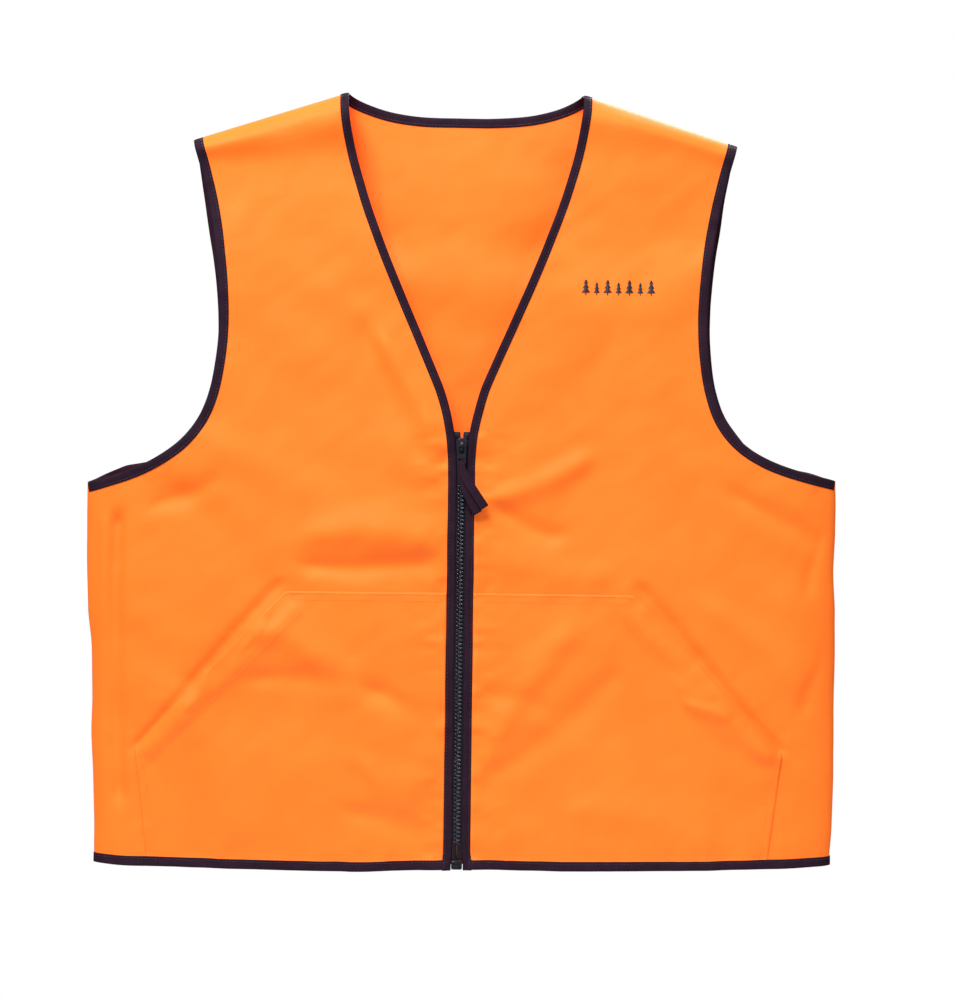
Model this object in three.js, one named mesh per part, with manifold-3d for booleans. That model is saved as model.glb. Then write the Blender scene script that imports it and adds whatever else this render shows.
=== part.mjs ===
// A blaze orange hunting vest, hanging closed. It has a one-piece back, two fronts that meet at a
// separating zip, two patch pockets with slanted mouths, and a dark binding folded over every edge.
//
// Units are millimetres. +Z is up, the fronts face -Y and +X points to the wearer's left.
// Heights are measured from the hem, and the group at the end lowers the whole vest so that the
// origin lies in the middle of the back neckline, between the shoulders that a hanger holds.
// Outlines are drawn once, for the wearer's left, as points (across, up), and mirrored by `side`.

import * as THREE from 'three';
import { mergeVertices } from 'three/addons/utils/BufferGeometryUtils.js';
import Module from 'manifold-3d';

const wasm = await Module();
wasm.setup();

// ---- Driving dimensions ----

const CLEARANCE = 0.3;
const SEAM_GAP = 0.8;

// Flat outline of the vest.
const CHEST_HALF = 331;
const HEM_TAPER = 4;
const HEM_TAPER_HEIGHT = 113;
const UNDERARM_Z = 340;
const NECK_X = 105.5;
const NECK_Z = 685;
const TIP_X = 238.8;
const TIP_Z = 640.5;
const BACK_NECK_Z = 668.5;
const BACK_NECK_POWER = 3.2;
const NECK_CHORD_MARGIN = 1.2;

// Fullness: the cloth stands this far from the middle plane, and rolls into the seams.
const BODY_HALF_DEPTH = 16;
const SIDE_ROLL = 50;
const SHOULDER_ROLL = 60;

// Cloth and binding.
const CLOTH = 1.2;
const BINDING_WIDTH = 8.5;
const BINDING_THICKNESS = 2.4;
const INSET = BINDING_WIDTH + CLEARANCE;

// Each front folds open along a straight line from the shoulder to the bottom of the side seam.
const FOLD_TOP_X = 132;
const FOLD_TOP_Z = 676;
const FOLD_HEM_X = 322;

// Patch pockets.
const POCKET_INNER_X = 14.2;
const POCKET_TOP_Z = 244;
const POCKET_TOP_X = 154;
const POCKET_MOUTH_X = 286;
const POCKET_MOUTH_Z = 104.5;
const POCKET_HEM_X = 273.5;
const POCKET_ROOM = 5.1;
const POCKET_CLOTH = 1;

// Separating zip: two tapes, moulded teeth, two top stops, a retainer box and its two pins.
const ZIP_EDGE_X = 4.2;
const ZIP_HEM_EDGE_X = 5.4;
const ZIP_TOP_Z = 388;
const TAPE_INNER_X = 3.8;
const TAPE_OUTER_X = 15;
const TAPE_THICKNESS = 0.8;
const CHAIN_GAP = 0.5;
const CHAIN_OUTER_X = 3.4;
const CHAIN_SPINE_X = 2.2;
const CHAIN_THICKNESS = 3.2;
const TOOTH_PITCH = 7;
const TOOTH_COUNT = 51;
const TOOTH_FILL = 0.55;
const CHAIN_BOTTOM_Z = 23;
const STOP_HEIGHT = 3.5;
const BOX_HALF_WIDTH = 4.9;
const BOX_HEIGHT = 8;
const BOX_THICKNESS = 5.2;
const PIN_SPACING_X = 2;
const PIN_HALF_WIDTH = 1;
const PIN_BOTTOM_Z = 3;

// Slider, puller and ribbon pull.
const SLIDER_Z = 373.5;
const SLIDER_HALF_HEIGHT = 7;
const SLIDER_TOP_HALF_WIDTH = 5;
const SLIDER_BOTTOM_HALF_WIDTH = 4;
const FLARE_Z = 2;
const CROWN_Z = 5;
const CROWN_CHAMFER = 2;
const SEATING = 0.4;
const FIN_Z = [1, 6.4];
const BRIDGE_UPPER_LEG_Z = [3.2, 4.4];
const BRIDGE_LOWER_LEG_Z = [-4.6, -3.4];
const PLATE = 1.2;
const FIN_HALF_WIDTH = 0.25;
const BRIDGE_HALF_WIDTH = 1.2;
const BRIDGE_RISE = 3.4;
const BRIDGE_WALL = 0.8;
const PULLER_AXIS_RISE = 1.3;
const PULLER_HALF_WIDTH = 4;
const PULLER_LENGTH = 15.5;
const PULLER_THICKNESS = 1.2;
const PULLER_TOP = 0.8;
// Openings in the puller: half width, bottom and top.
const PULLER_EYE = [2, -7.2, -0.7];
const RIBBON_SLOT = [3, -14.4, -11];
const RUNG_Z = -14.95;
const RIBBON_THICKNESS = 0.8;
const RIBBON_LOOP_HALF_WIDTH = 2.6;

// Embroidered row of trees on the wearer's left chest.
const TREES = 7;
const TREE_PITCH = 9.6;
const TREE_ROW_X = 136.4;
const TREE_ROW_Z = 508.3;
const TREE_HEIGHT = 13.5;
const TREE_RELIEF = 0.6;

// ---- Depth levels along Y, all on the flat middle of the fronts ----

const INNER_FACE_Y = -(SEAM_GAP / 2 + BODY_HALF_DEPTH);
const CLOTH_FACE_Y = INNER_FACE_Y - CLOTH;
const BINDING_FACE_Y = INNER_FACE_Y - BINDING_THICKNESS;
const TAPE_FRONT_Y = INNER_FACE_Y + CLEARANCE;
const TAPE_BACK_Y = TAPE_FRONT_Y + TAPE_THICKNESS;
const CHAIN_MID_Y = (TAPE_FRONT_Y + TAPE_BACK_Y) / 2 - 0.9;
const CHAIN_FRONT_Y = CHAIN_MID_Y - CHAIN_THICKNESS / 2;
const CHAIN_BACK_Y = CHAIN_MID_Y + CHAIN_THICKNESS / 2;
const SLIDER_FRONT_Y = BINDING_FACE_Y - CLEARANCE - PLATE;
const SLIDER_BACK_Y = CHAIN_BACK_Y + CLEARANCE + PLATE;
const PULLER_Y = SLIDER_FRONT_Y - PULLER_AXIS_RISE;

// ---- Materials ----

const cloth = (color) => new THREE.MeshStandardMaterial({ color, roughness: 0.85, metalness: 0 });
const moulded = (color) => new THREE.MeshStandardMaterial({ color, roughness: 0.4, metalness: 0 });
const ORANGE = cloth(0xff8a34);
const BINDING = cloth(0x35202f);
const TAPE = cloth(0x241a26);
const TEETH = moulded(0x1b181d);
const HARDWARE = new THREE.MeshStandardMaterial({ color: 0x3a3a44, roughness: 0.45, metalness: 0.6 });
const THREAD = cloth(0x2a2530);

// ---- Body shape ----

// A quarter ellipse: 0 at the seam, 1 once `distance` has passed the roll.
function rollOff(distance, roll) {
  const rest = 1 - THREE.MathUtils.clamp(distance / roll, 0, 1);
  return Math.sqrt(1 - rest * rest);
}

function sideSeamX(z) {
  const rest = 1 - THREE.MathUtils.clamp(z / HEM_TAPER_HEIGHT, 0, 1);
  return CHEST_HALF - HEM_TAPER * rest * rest;
}

function shoulderZ(x) {
  return NECK_Z + ((x - NECK_X) * (TIP_Z - NECK_Z)) / (TIP_X - NECK_X);
}

function backNeckZ(x) {
  return BACK_NECK_Z + (NECK_Z - BACK_NECK_Z) * (x / NECK_X) ** BACK_NECK_POWER;
}

// Top of the back's cloth under the neck binding, measured down from the curved edge.
function backClothTopZ(x) {
  const slope = (BACK_NECK_POWER * (backNeckZ(x) - BACK_NECK_Z)) / Math.max(x, 1);
  return backNeckZ(x) - (INSET + NECK_CHORD_MARGIN) * Math.hypot(1, slope);
}

function halfDepth(x, z) {
  const across = Math.abs(x);
  const side = rollOff(sideSeamX(z) - across, SIDE_ROLL);
  return BODY_HALF_DEPTH * side * rollOff(shoulderZ(across) - z, SHOULDER_ROLL);
}

// A point on the body: `face` is -1 on the fronts and 1 on the back, `lift` is measured outward.
function onBody(point, side, face, lift) {
  const y = face * (SEAM_GAP / 2 + halfDepth(point.x, point.y) + lift);
  return new THREE.Vector3(side * point.x, y, point.y);
}

// ---- Outlines ----

const at = (x, z) => new THREE.Vector2(x, z);

function curvePath(...curves) {
  const path = new THREE.CurvePath();
  curves.forEach((curve) => path.add(curve));
  return path;
}

// Free edge of a front: up the zip, round the foot of the V and up the V to the neck point.
function frontEdge() {
  const straightTop = at(ZIP_EDGE_X, 350);
  const vFoot = at(17.7, 428);
  return [
    at(ZIP_HEM_EDGE_X, INSET),
    ...new THREE.LineCurve(at(ZIP_EDGE_X, 25), straightTop).getPoints(2),
    ...new THREE.QuadraticBezierCurve(straightTop, at(ZIP_EDGE_X, 392), vFoot).getPoints(5).slice(1),
    ...new THREE.CubicBezierCurve(vFoot, at(55.5, 518), at(102, 610), at(NECK_X, NECK_Z))
      .getPoints(9).slice(1),
  ];
}

// Free edge of an armhole: from the top of the side seam, round the scoop and up to the shoulder.
function armholeEdge() {
  const scoop = at(225, 415);
  return curvePath(
    new THREE.CubicBezierCurve(at(CHEST_HALF, UNDERARM_Z), at(285, 352), at(240, 368), scoop),
    new THREE.CubicBezierCurve(scoop, at(211, 459), at(210, 540), at(TIP_X, TIP_Z)),
  ).getSpacedPoints(16);
}

// Direction into the cloth at each point. `turn` is 1 when the cloth is to the left of the path.
function inwards(points, turn) {
  return points.map((point, index) => {
    const before = points[Math.max(index - 1, 0)];
    const after = points[Math.min(index + 1, points.length - 1)];
    const along = after.clone().sub(before).normalize();
    return at(-turn * along.y, turn * along.x);
  });
}

function inset(points, turn, distance) {
  const directions = inwards(points, turn);
  return points.map((point, index) => point.clone().addScaledVector(directions[index], distance));
}

// X of a rising polyline at a height.
function acrossAt(points, z) {
  const next = points.findIndex((point) => point.y >= z);
  if (next === 0) return points[0].x;
  if (next < 0) return points[points.length - 1].x;
  const low = points[next - 1];
  const high = points[next];
  return THREE.MathUtils.mapLinear(z, low.y, high.y, low.x, high.x);
}

const FRONT_CLOTH_EDGE = inset(frontEdge(), -1, INSET);
const ARMHOLE_CLOTH_EDGE = inset(armholeEdge(), 1, INSET);
const CLOTH_TIP = ARMHOLE_CLOTH_EDGE[ARMHOLE_CLOTH_EDGE.length - 1];
const CLOTH_UNDERARM_Z = ARMHOLE_CLOTH_EDGE[0].y;

const foldX = (z) => THREE.MathUtils.mapLinear(z, 0, FOLD_TOP_Z, FOLD_HEM_X, FOLD_TOP_X);
const frontClothX = (z) => acrossAt(FRONT_CLOTH_EDGE, z);
const outerClothX = (z) => (z < CLOTH_UNDERARM_Z ? sideSeamX(z) : acrossAt(ARMHOLE_CLOTH_EDGE, z));

// ---- Mesh building ----

// Turns the faces outward if the enclosed volume comes out negative.
function closedGeometry(positions, triangles) {
  let volume = 0;
  for (const [a, b, c] of triangles) {
    volume += positions[a].dot(new THREE.Vector3().crossVectors(positions[b], positions[c]));
  }
  const ordered = volume > 0 ? triangles : triangles.map(([a, b, c]) => [a, c, b]);
  const geometry = new THREE.BufferGeometry().setFromPoints(positions);
  geometry.setIndex(ordered.flat());
  geometry.computeVertexNormals();
  return geometry;
}

// A cloth panel from a grid of flat points, one cloth thickness deep.
function clothPanel(grid, side, face) {
  const rows = grid.length;
  const columns = grid[0].length;
  const layer = rows * columns;
  const positions = [0, CLOTH].flatMap((lift) =>
    grid.flat().map((point) => onBody(point, side, face, lift)));
  const triangles = [];
  const quad = (a, b, c, d) => triangles.push([a, b, c], [a, c, d]);
  for (let row = 0; row < rows - 1; row += 1) {
    for (let column = 0; column < columns - 1; column += 1) {
      const low = row * columns + column;
      const high = low + columns;
      quad(low, low + 1, high + 1, high);
      quad(layer + high, layer + high + 1, layer + low + 1, layer + low);
    }
    const left = row * columns;
    const right = left + columns - 1;
    quad(left, left + columns, layer + left + columns, layer + left);
    quad(right + columns, right, layer + right, layer + right + columns);
  }
  for (let column = 0; column < columns - 1; column += 1) {
    const top = (rows - 1) * columns + column;
    quad(column + 1, column, layer + column, layer + column + 1);
    quad(top, top + 1, layer + top + 1, layer + top);
  }
  return closedGeometry(positions, triangles);
}

// A bar through stations of four corners each. A closed bar joins its last station to its first.
function bar(stations, closed) {
  const positions = stations.flat();
  const triangles = [];
  const last = closed ? stations.length : stations.length - 1;
  for (let index = 0; index < last; index += 1) {
    const here = index * 4;
    const there = ((index + 1) % stations.length) * 4;
    for (let corner = 0; corner < 4; corner += 1) {
      const next = (corner + 1) % 4;
      triangles.push([here + corner, there + corner, there + next]);
      triangles.push([here + corner, there + next, here + next]);
    }
  }
  if (!closed) {
    const end = positions.length - 4;
    triangles.push([0, 1, 2], [0, 2, 3], [end + 2, end + 1, end], [end + 3, end + 2, end]);
  }
  return closedGeometry(positions, triangles);
}

// Stations of a binding along a free edge of the fronts or the back.
function bindingStations(points, turn, side, face) {
  const cloths = inset(points, turn, BINDING_WIDTH);
  return points.map((point, index) => [
    onBody(point, side, face, 0),
    onBody(cloths[index], side, face, 0),
    onBody(cloths[index], side, face, BINDING_THICKNESS),
    onBody(point, side, face, BINDING_THICKNESS),
  ]);
}

// A station where a binding turns over a seam, from the fronts to the back.
function turnStation(point, cloth, outward, side) {
  const corner = (base, lift) => {
    const place = base.clone().addScaledVector(outward, lift);
    return new THREE.Vector3(side * place.x, 0, place.y);
  };
  const low = SEAM_GAP / 2;
  const high = low + BINDING_THICKNESS;
  return [corner(point, low), corner(cloth, low), corner(cloth, high), corner(point, high)];
}

// A flat outline of (across, up) points, made solid between two Y levels.
function plate(shape, yFront, yBack) {
  const geometry = new THREE.ExtrudeGeometry(shape, { depth: yBack - yFront, bevelEnabled: false });
  geometry.rotateX(Math.PI / 2);
  geometry.translate(0, yBack, 0);
  return geometry;
}

function outline(...points) {
  return new THREE.Shape(points.map(([x, z]) => at(x, z)));
}

function block(xs, ys, zs) {
  const geometry = new THREE.BoxGeometry(xs[1] - xs[0], ys[1] - ys[0], zs[1] - zs[0]);
  geometry.translate((xs[0] + xs[1]) / 2, (ys[0] + ys[1]) / 2, (zs[0] + zs[1]) / 2);
  return geometry;
}

function solid(geometry) {
  const bare = geometry.clone();
  bare.deleteAttribute('normal');
  bare.deleteAttribute('uv');
  const merged = mergeVertices(bare, 1e-4);
  const mesh = new wasm.Mesh({
    numProp: 3,
    vertProperties: new Float32Array(merged.attributes.position.array),
    triVerts: new Uint32Array(merged.index.array),
  });
  return new wasm.Manifold(mesh);
}

function geometryOf(manifold) {
  const mesh = manifold.getMesh();
  const geometry = new THREE.BufferGeometry();
  geometry.setAttribute('position', new THREE.BufferAttribute(mesh.vertProperties, 3));
  geometry.setIndex(new THREE.BufferAttribute(mesh.triVerts, 1));
  geometry.computeVertexNormals();
  return geometry;
}

const join = (...parts) => geometryOf(parts.map(solid).reduce((sum, part) => sum.add(part)));
const cut = (base, ...tools) =>
  geometryOf(tools.map(solid).reduce((rest, tool) => rest.subtract(tool), solid(base)));

// ---- Cloth panels ----

// Rows run up a panel in two bands: 0 to 1 below the underarm and 1 to 2 above it. The upper rows
// pass through the points of the edge that the binding follows, so that the two never cross.
const LOWER_ROWS = [0, 0.06, 0.2, 0.6];
const NECK_CLOTH = FRONT_CLOTH_EDGE[FRONT_CLOTH_EDGE.length - 1];
const FLAP_TOP_Z = Math.min(NECK_CLOTH.y, shoulderZ(NECK_CLOTH.x));

function rowsThrough(edge, topZ) {
  const heights = edge.map((point) => point.y).filter((z) => z > CLOTH_UNDERARM_Z + 1 && z < topZ - 1);
  const upper = heights.map((z) => 1 + (z - CLOTH_UNDERARM_Z) / (topZ - CLOTH_UNDERARM_Z));
  return [...LOWER_ROWS, 1, ...upper, 2];
}

const ROWS = rowsThrough(ARMHOLE_CLOTH_EDGE, CLOTH_TIP.y);
const FLAP_ROWS = rowsThrough(FRONT_CLOTH_EDGE, FLAP_TOP_Z);
const SIDE_COLUMNS = [0, 0.4, 0.6, 0.78, 0.9, 0.97, 1];
const FLAP_COLUMNS = [0, 0.4, 0.86, 0.93, 1];
const BACK_HALF_COLUMNS = [0.2, 0.33, 0.41, 0.46, 0.5, 0.72, 0.86, 0.91, 0.955, 0.985, 1];
const BACK_COLUMNS = [...BACK_HALF_COLUMNS.map((u) => -u).reverse(), 0, ...BACK_HALF_COLUMNS];

function rowHeight(row, topZ) {
  if (row <= 1) return THREE.MathUtils.lerp(INSET, CLOTH_UNDERARM_Z, row);
  return THREE.MathUtils.lerp(CLOTH_UNDERARM_Z, topZ, row - 1);
}

// A grid between two rising edges, each given by its X at a height and its top height.
function panelGrid(rows, columns, inner, outer) {
  return rows.map((row) => {
    const innerZ = rowHeight(row, inner.topZ);
    const outerZ = rowHeight(row, outer.topZ);
    const start = at(inner.x(innerZ), innerZ);
    const end = at(outer.x(outerZ), outerZ);
    return columns.map((column) => start.clone().lerp(end, column));
  });
}

function flapPanel(side) {
  const inner = { x: frontClothX, topZ: FLAP_TOP_Z };
  const outer = { x: (z) => foldX(z) - CLEARANCE, topZ: FOLD_TOP_Z - CLEARANCE };
  return clothPanel(panelGrid(FLAP_ROWS, FLAP_COLUMNS, inner, outer), side, -1);
}

function sidePanel(side) {
  const inner = { x: (z) => foldX(z) + CLEARANCE, topZ: FOLD_TOP_Z - CLEARANCE };
  const outer = { x: outerClothX, topZ: CLOTH_TIP.y };
  return clothPanel(panelGrid(ROWS, SIDE_COLUMNS, inner, outer), side, -1);
}

function backPanel() {
  const grid = ROWS.map((row) => BACK_COLUMNS.map((column) => {
    const across = Math.abs(column) * CLOTH_TIP.x;
    const topZ = Math.min(shoulderZ(across), backClothTopZ(across));
    const edgeZ = rowHeight(row, CLOTH_TIP.y);
    return at(column * outerClothX(edgeZ), rowHeight(row, topZ));
  }));
  return clothPanel(grid, 1, 1);
}

// A patch pocket is a shallow tray, sewn down on three sides and open along its slanted mouth.
function pocket(side) {
  const backY = CLOTH_FACE_Y - CLEARANCE;
  const roomY = CLOTH_FACE_Y - POCKET_ROOM;
  const mirrored = (points) => outline(...points.map(([x, z]) => [side * x, z]));
  const wall = POCKET_CLOTH;
  const tray = plate(mirrored([
    [POCKET_INNER_X, INSET],
    [POCKET_HEM_X, INSET],
    [POCKET_MOUTH_X, POCKET_MOUTH_Z],
    [POCKET_TOP_X, POCKET_TOP_Z],
    [POCKET_INNER_X, POCKET_TOP_Z],
  ]), roomY - POCKET_CLOTH, backY);
  const beyondMouth = 40;
  const room = plate(mirrored([
    [POCKET_INNER_X + wall, INSET + wall],
    [POCKET_HEM_X - wall, INSET + wall],
    [POCKET_MOUTH_X - wall, POCKET_MOUTH_Z - wall],
    [POCKET_MOUTH_X - wall, POCKET_MOUTH_Z + beyondMouth],
    [POCKET_TOP_X + beyondMouth, POCKET_TOP_Z + beyondMouth],
    [POCKET_TOP_X, POCKET_TOP_Z + beyondMouth],
    [POCKET_TOP_X, POCKET_TOP_Z - wall],
    [POCKET_INNER_X + wall, POCKET_TOP_Z - wall],
  ]), roomY, backY + 1);
  return cut(tray, room);
}

// ---- Bindings ----

function frontEdgeBinding(side) {
  return bar(bindingStations(frontEdge(), -1, side, -1), false);
}

// The binding goes up the front of the armhole, over the shoulder, down the back and under the arm.
function armholeBinding(side) {
  const edge = armholeEdge();
  const cloths = inset(edge, 1, BINDING_WIDTH);
  const tip = edge[edge.length - 1];
  const underarm = edge[0];
  const overShoulder = at(NECK_Z - TIP_Z, TIP_X - NECK_X).normalize();
  return bar([
    ...bindingStations(edge, 1, side, -1),
    turnStation(tip, cloths[cloths.length - 1], overShoulder, side),
    ...bindingStations(edge, 1, side, 1).reverse(),
    turnStation(underarm, at(underarm.x, underarm.y - BINDING_WIDTH), at(1, 0), side),
  ], true);
}

function backNeckBinding() {
  const halfSteps = 9;
  const points = [];
  for (let step = -halfSteps; step <= halfSteps; step += 1) {
    const x = (NECK_X * step) / halfSteps;
    points.push(at(x, backNeckZ(Math.abs(x))));
  }
  return bar(bindingStations(points, -1, 1, 1), false);
}

function hemPoints(from, to, steps) {
  return Array.from({ length: steps + 1 }, (_, step) => at(from + ((to - from) * step) / steps, 0));
}

function frontHemBinding(side) {
  const corner = sideSeamX(0) - SIDE_ROLL;
  const points = [
    ...hemPoints(ZIP_HEM_EDGE_X, corner, 1),
    ...hemPoints(corner, FOLD_HEM_X - 3, 8).slice(1),
  ];
  return bar(bindingStations(points, 1, side, -1), false);
}

function backHemBinding() {
  const seam = sideSeamX(0) - CLEARANCE;
  const corner = seam - SIDE_ROLL;
  const points = [
    ...hemPoints(-seam, -corner, 8),
    ...hemPoints(corner, seam, 8),
  ];
  return bar(bindingStations(points, 1, 1, 1), false);
}

// ---- Zip ----

const sided = (side, from, to) => (side > 0 ? [from, to] : [-to, -from]);

function zipTape(side) {
  const xs = sided(side, TAPE_INNER_X, TAPE_OUTER_X);
  return block(xs, [TAPE_FRONT_Y, TAPE_BACK_Y], [BOX_HEIGHT + CLEARANCE, ZIP_TOP_Z]);
}

// Teeth stand on a spine and stop short of the middle. The two sides are half a pitch apart.
function zipTeeth(side) {
  const stagger = side > 0 ? 0 : TOOTH_PITCH / 2;
  const topZ = CHAIN_BOTTOM_Z + TOOTH_COUNT * TOOTH_PITCH;
  const points = [[CHAIN_OUTER_X, topZ], [CHAIN_OUTER_X, CHAIN_BOTTOM_Z], [CHAIN_SPINE_X, CHAIN_BOTTOM_Z]];
  for (let tooth = 0; tooth < TOOTH_COUNT; tooth += 1) {
    const low = CHAIN_BOTTOM_Z + tooth * TOOTH_PITCH + stagger * 0.5 + 0.4;
    const high = low + TOOTH_PITCH * TOOTH_FILL;
    points.push([CHAIN_SPINE_X, low], [CHAIN_GAP, low + 0.6], [CHAIN_GAP, high - 0.6], [CHAIN_SPINE_X, high]);
  }
  points.push([CHAIN_SPINE_X, topZ]);
  return plate(outline(...points.map(([x, z]) => [side * x, z])), CHAIN_FRONT_Y, CHAIN_BACK_Y);
}

function topStop(side) {
  const low = CHAIN_BOTTOM_Z + TOOTH_COUNT * TOOTH_PITCH + CLEARANCE;
  return block(sided(side, CHAIN_GAP, CHAIN_OUTER_X), [CHAIN_FRONT_Y, CHAIN_BACK_Y], [low, low + STOP_HEIGHT]);
}

// The box has a socket on the wearer's right, where the insertion pin drops in.
function retainerBox() {
  const ys = [CHAIN_MID_Y - BOX_THICKNESS / 2, CHAIN_MID_Y + BOX_THICKNESS / 2];
  const socketHalf = PIN_HALF_WIDTH + CLEARANCE;
  const body = block([-BOX_HALF_WIDTH, BOX_HALF_WIDTH], ys, [0, BOX_HEIGHT]);
  const socket = block(
    [-PIN_SPACING_X - socketHalf, -PIN_SPACING_X + socketHalf],
    [CHAIN_FRONT_Y - CLEARANCE + 0.4, CHAIN_BACK_Y + CLEARANCE - 0.4],
    [PIN_BOTTOM_Z - CLEARANCE, BOX_HEIGHT + 1],
  );
  return cut(body, socket);
}

function pin(side, bottomZ) {
  const xs = sided(side, PIN_SPACING_X - PIN_HALF_WIDTH, PIN_SPACING_X + PIN_HALF_WIDTH);
  const ys = [CHAIN_FRONT_Y + 0.4, CHAIN_BACK_Y - 0.4];
  return block(xs, ys, [bottomZ, CHAIN_BOTTOM_Z - CLEARANCE]);
}

// ---- Slider, puller and ribbon: drawn about the puller's hinge, which is the middle of the slider ----

function sliderBody() {
  const top = SLIDER_TOP_HALF_WIDTH;
  const bottom = SLIDER_BOTTOM_HALF_WIDTH;
  const crown = top - CROWN_CHAMFER;
  const shield = outline(
    [-bottom, -SLIDER_HALF_HEIGHT],
    [bottom, -SLIDER_HALF_HEIGHT],
    [top, FLARE_Z],
    [top, CROWN_Z],
    [crown, SLIDER_HALF_HEIGHT],
    [-crown, SLIDER_HALF_HEIGHT],
    [-top, CROWN_Z],
    [-top, FLARE_Z],
  );
  const bridge = [-BRIDGE_HALF_WIDTH, BRIDGE_HALF_WIDTH];
  const bridgeTop = SLIDER_FRONT_Y - BRIDGE_RISE;
  const bridgeLeg = [bridgeTop, SLIDER_FRONT_Y + SEATING];
  const finDepth = [SLIDER_FRONT_Y + SEATING, SLIDER_BACK_Y - SEATING];
  return join(
    plate(shield, SLIDER_FRONT_Y, SLIDER_FRONT_Y + PLATE),
    plate(shield, SLIDER_BACK_Y - PLATE, SLIDER_BACK_Y),
    block([-FIN_HALF_WIDTH, FIN_HALF_WIDTH], finDepth, FIN_Z),
    block(bridge, bridgeLeg, BRIDGE_UPPER_LEG_Z),
    block(bridge, bridgeLeg, BRIDGE_LOWER_LEG_Z),
    block(bridge, [bridgeTop, bridgeTop + BRIDGE_WALL], [BRIDGE_LOWER_LEG_Z[0], BRIDGE_UPPER_LEG_Z[1]]),
  );
}

function puller() {
  const half = PULLER_HALF_WIDTH;
  const opening = ([halfWidth, bottom, top]) =>
    new THREE.Path([at(-halfWidth, bottom), at(-halfWidth, top), at(halfWidth, top), at(halfWidth, bottom)]);
  const shape = outline([-half, -PULLER_LENGTH], [half, -PULLER_LENGTH], [half, PULLER_TOP], [-half, PULLER_TOP]);
  shape.holes.push(opening(PULLER_EYE), opening(RIBBON_SLOT));
  return plate(shape, PULLER_Y - PULLER_THICKNESS / 2, PULLER_Y + PULLER_THICKNESS / 2);
}

// The ribbon wraps the puller's bottom rung, and its two tails fall to the wearer's left.
function pullRibbon() {
  const xs = [-RIBBON_LOOP_HALF_WIDTH, RIBBON_LOOP_HALF_WIDTH];
  const loopInner = 1;
  const loopOuter = loopInner + RIBBON_THICKNESS;
  const topZ = RUNG_Z + loopOuter;
  const bottomZ = RUNG_Z - loopOuter;
  const footZ = bottomZ - RIBBON_THICKNESS;
  const frontY = PULLER_Y - loopOuter;
  const backY = PULLER_Y + loopOuter;
  const tailsFrontY = PULLER_Y - 4.2;
  const tailsBackY = PULLER_Y - 2.8;
  const frontTail = outline([-4, footZ - 1], [4, footZ + 2], [10.5, -36], [22.5, -52], [17.3, -57.5], [3, -40]);
  const rearTail = outline([-2, footZ - 1], [4, footZ], [11, -40], [15.5, -58.5], [8.5, -61.5], [2, -42]);
  return join(
    block(xs, [frontY, backY], [topZ - RIBBON_THICKNESS, topZ]),
    block(xs, [backY - RIBBON_THICKNESS, backY], [footZ, topZ]),
    block(xs, [frontY, frontY + RIBBON_THICKNESS], [footZ, topZ]),
    block(xs, [tailsFrontY, backY], [footZ, bottomZ]),
    plate(frontTail, tailsFrontY, tailsFrontY + RIBBON_THICKNESS),
    plate(rearTail, tailsFrontY + 0.6, tailsBackY),
  );
}

// ---- Embroidery ----

// Fir trees standing on one line of stitches.
function embroidery() {
  const ground = 1.4;
  const skirts = [[0.6, ground], [0.6, 3], [4, 3], [1.6, 7], [3, 7], [1, 10.2], [2, 10.2], [0, TREE_HEIGHT]];
  const halfRow = (TREES * TREE_PITCH) / 2;
  const points = [[-halfRow, 0], [halfRow, 0], [halfRow, ground]];
  for (let tree = TREES - 1; tree >= 0; tree -= 1) {
    const middle = (tree + 0.5) * TREE_PITCH - halfRow;
    const right = skirts.map(([x, z]) => [middle + x, z]);
    const left = skirts.slice(0, -1).reverse().map(([x, z]) => [middle - x, z]);
    points.push(...right, ...left);
  }
  points.push([-halfRow, ground]);
  const placed = points.map(([x, z]) => [TREE_ROW_X + x, TREE_ROW_Z + z]);
  const backY = CLOTH_FACE_Y - CLEARANCE;
  return plate(outline(...placed), backY - TREE_RELIEF, backY);
}

// ---- Assembly ----

const vest = new THREE.Group();
vest.position.z = -BACK_NECK_Z;

function addNode(name, geometry, material, parent = vest) {
  const mesh = new THREE.Mesh(geometry, material);
  mesh.name = name;
  parent.add(mesh);
}

addNode('back_panel', backPanel(), ORANGE);
addNode('neck_binding_back', backNeckBinding(), BINDING);
addNode('hem_binding_back', backHemBinding(), BINDING);

for (const [hand, side] of [['right', -1], ['left', 1]]) {
  addNode(`front_${hand}_side`, sidePanel(side), ORANGE);
  addNode(`front_${hand}_panel`, flapPanel(side), ORANGE);
  addNode(`pocket_${hand}`, pocket(side), ORANGE);
  addNode(`armhole_binding_${hand}`, armholeBinding(side), BINDING);
  addNode(`front_edge_binding_${hand}`, frontEdgeBinding(side), BINDING);
  addNode(`hem_binding_front_${hand}`, frontHemBinding(side), BINDING);
  addNode(`zipper_tape_${hand}`, zipTape(side), TAPE);
  addNode(`zipper_teeth_${hand}`, zipTeeth(side), TEETH);
  addNode(`zipper_top_stop_${hand}`, topStop(side), TEETH);
}

addNode('zipper_retainer_box', retainerBox(), TEETH);
addNode('zipper_box_pin', pin(1, BOX_HEIGHT + CLEARANCE), TEETH);
addNode('zipper_insertion_pin', pin(-1, PIN_BOTTOM_Z), TEETH);
addNode('chest_embroidery', embroidery(), THREAD);

const slider = new THREE.Group();
slider.position.z = SLIDER_Z;
vest.add(slider);
addNode('zipper_slider_body', sliderBody(), HARDWARE, slider);
addNode('zipper_puller', puller(), HARDWARE, slider);
addNode('zipper_pull_ribbon', pullRibbon(), BINDING, slider);

export default vest;
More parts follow.
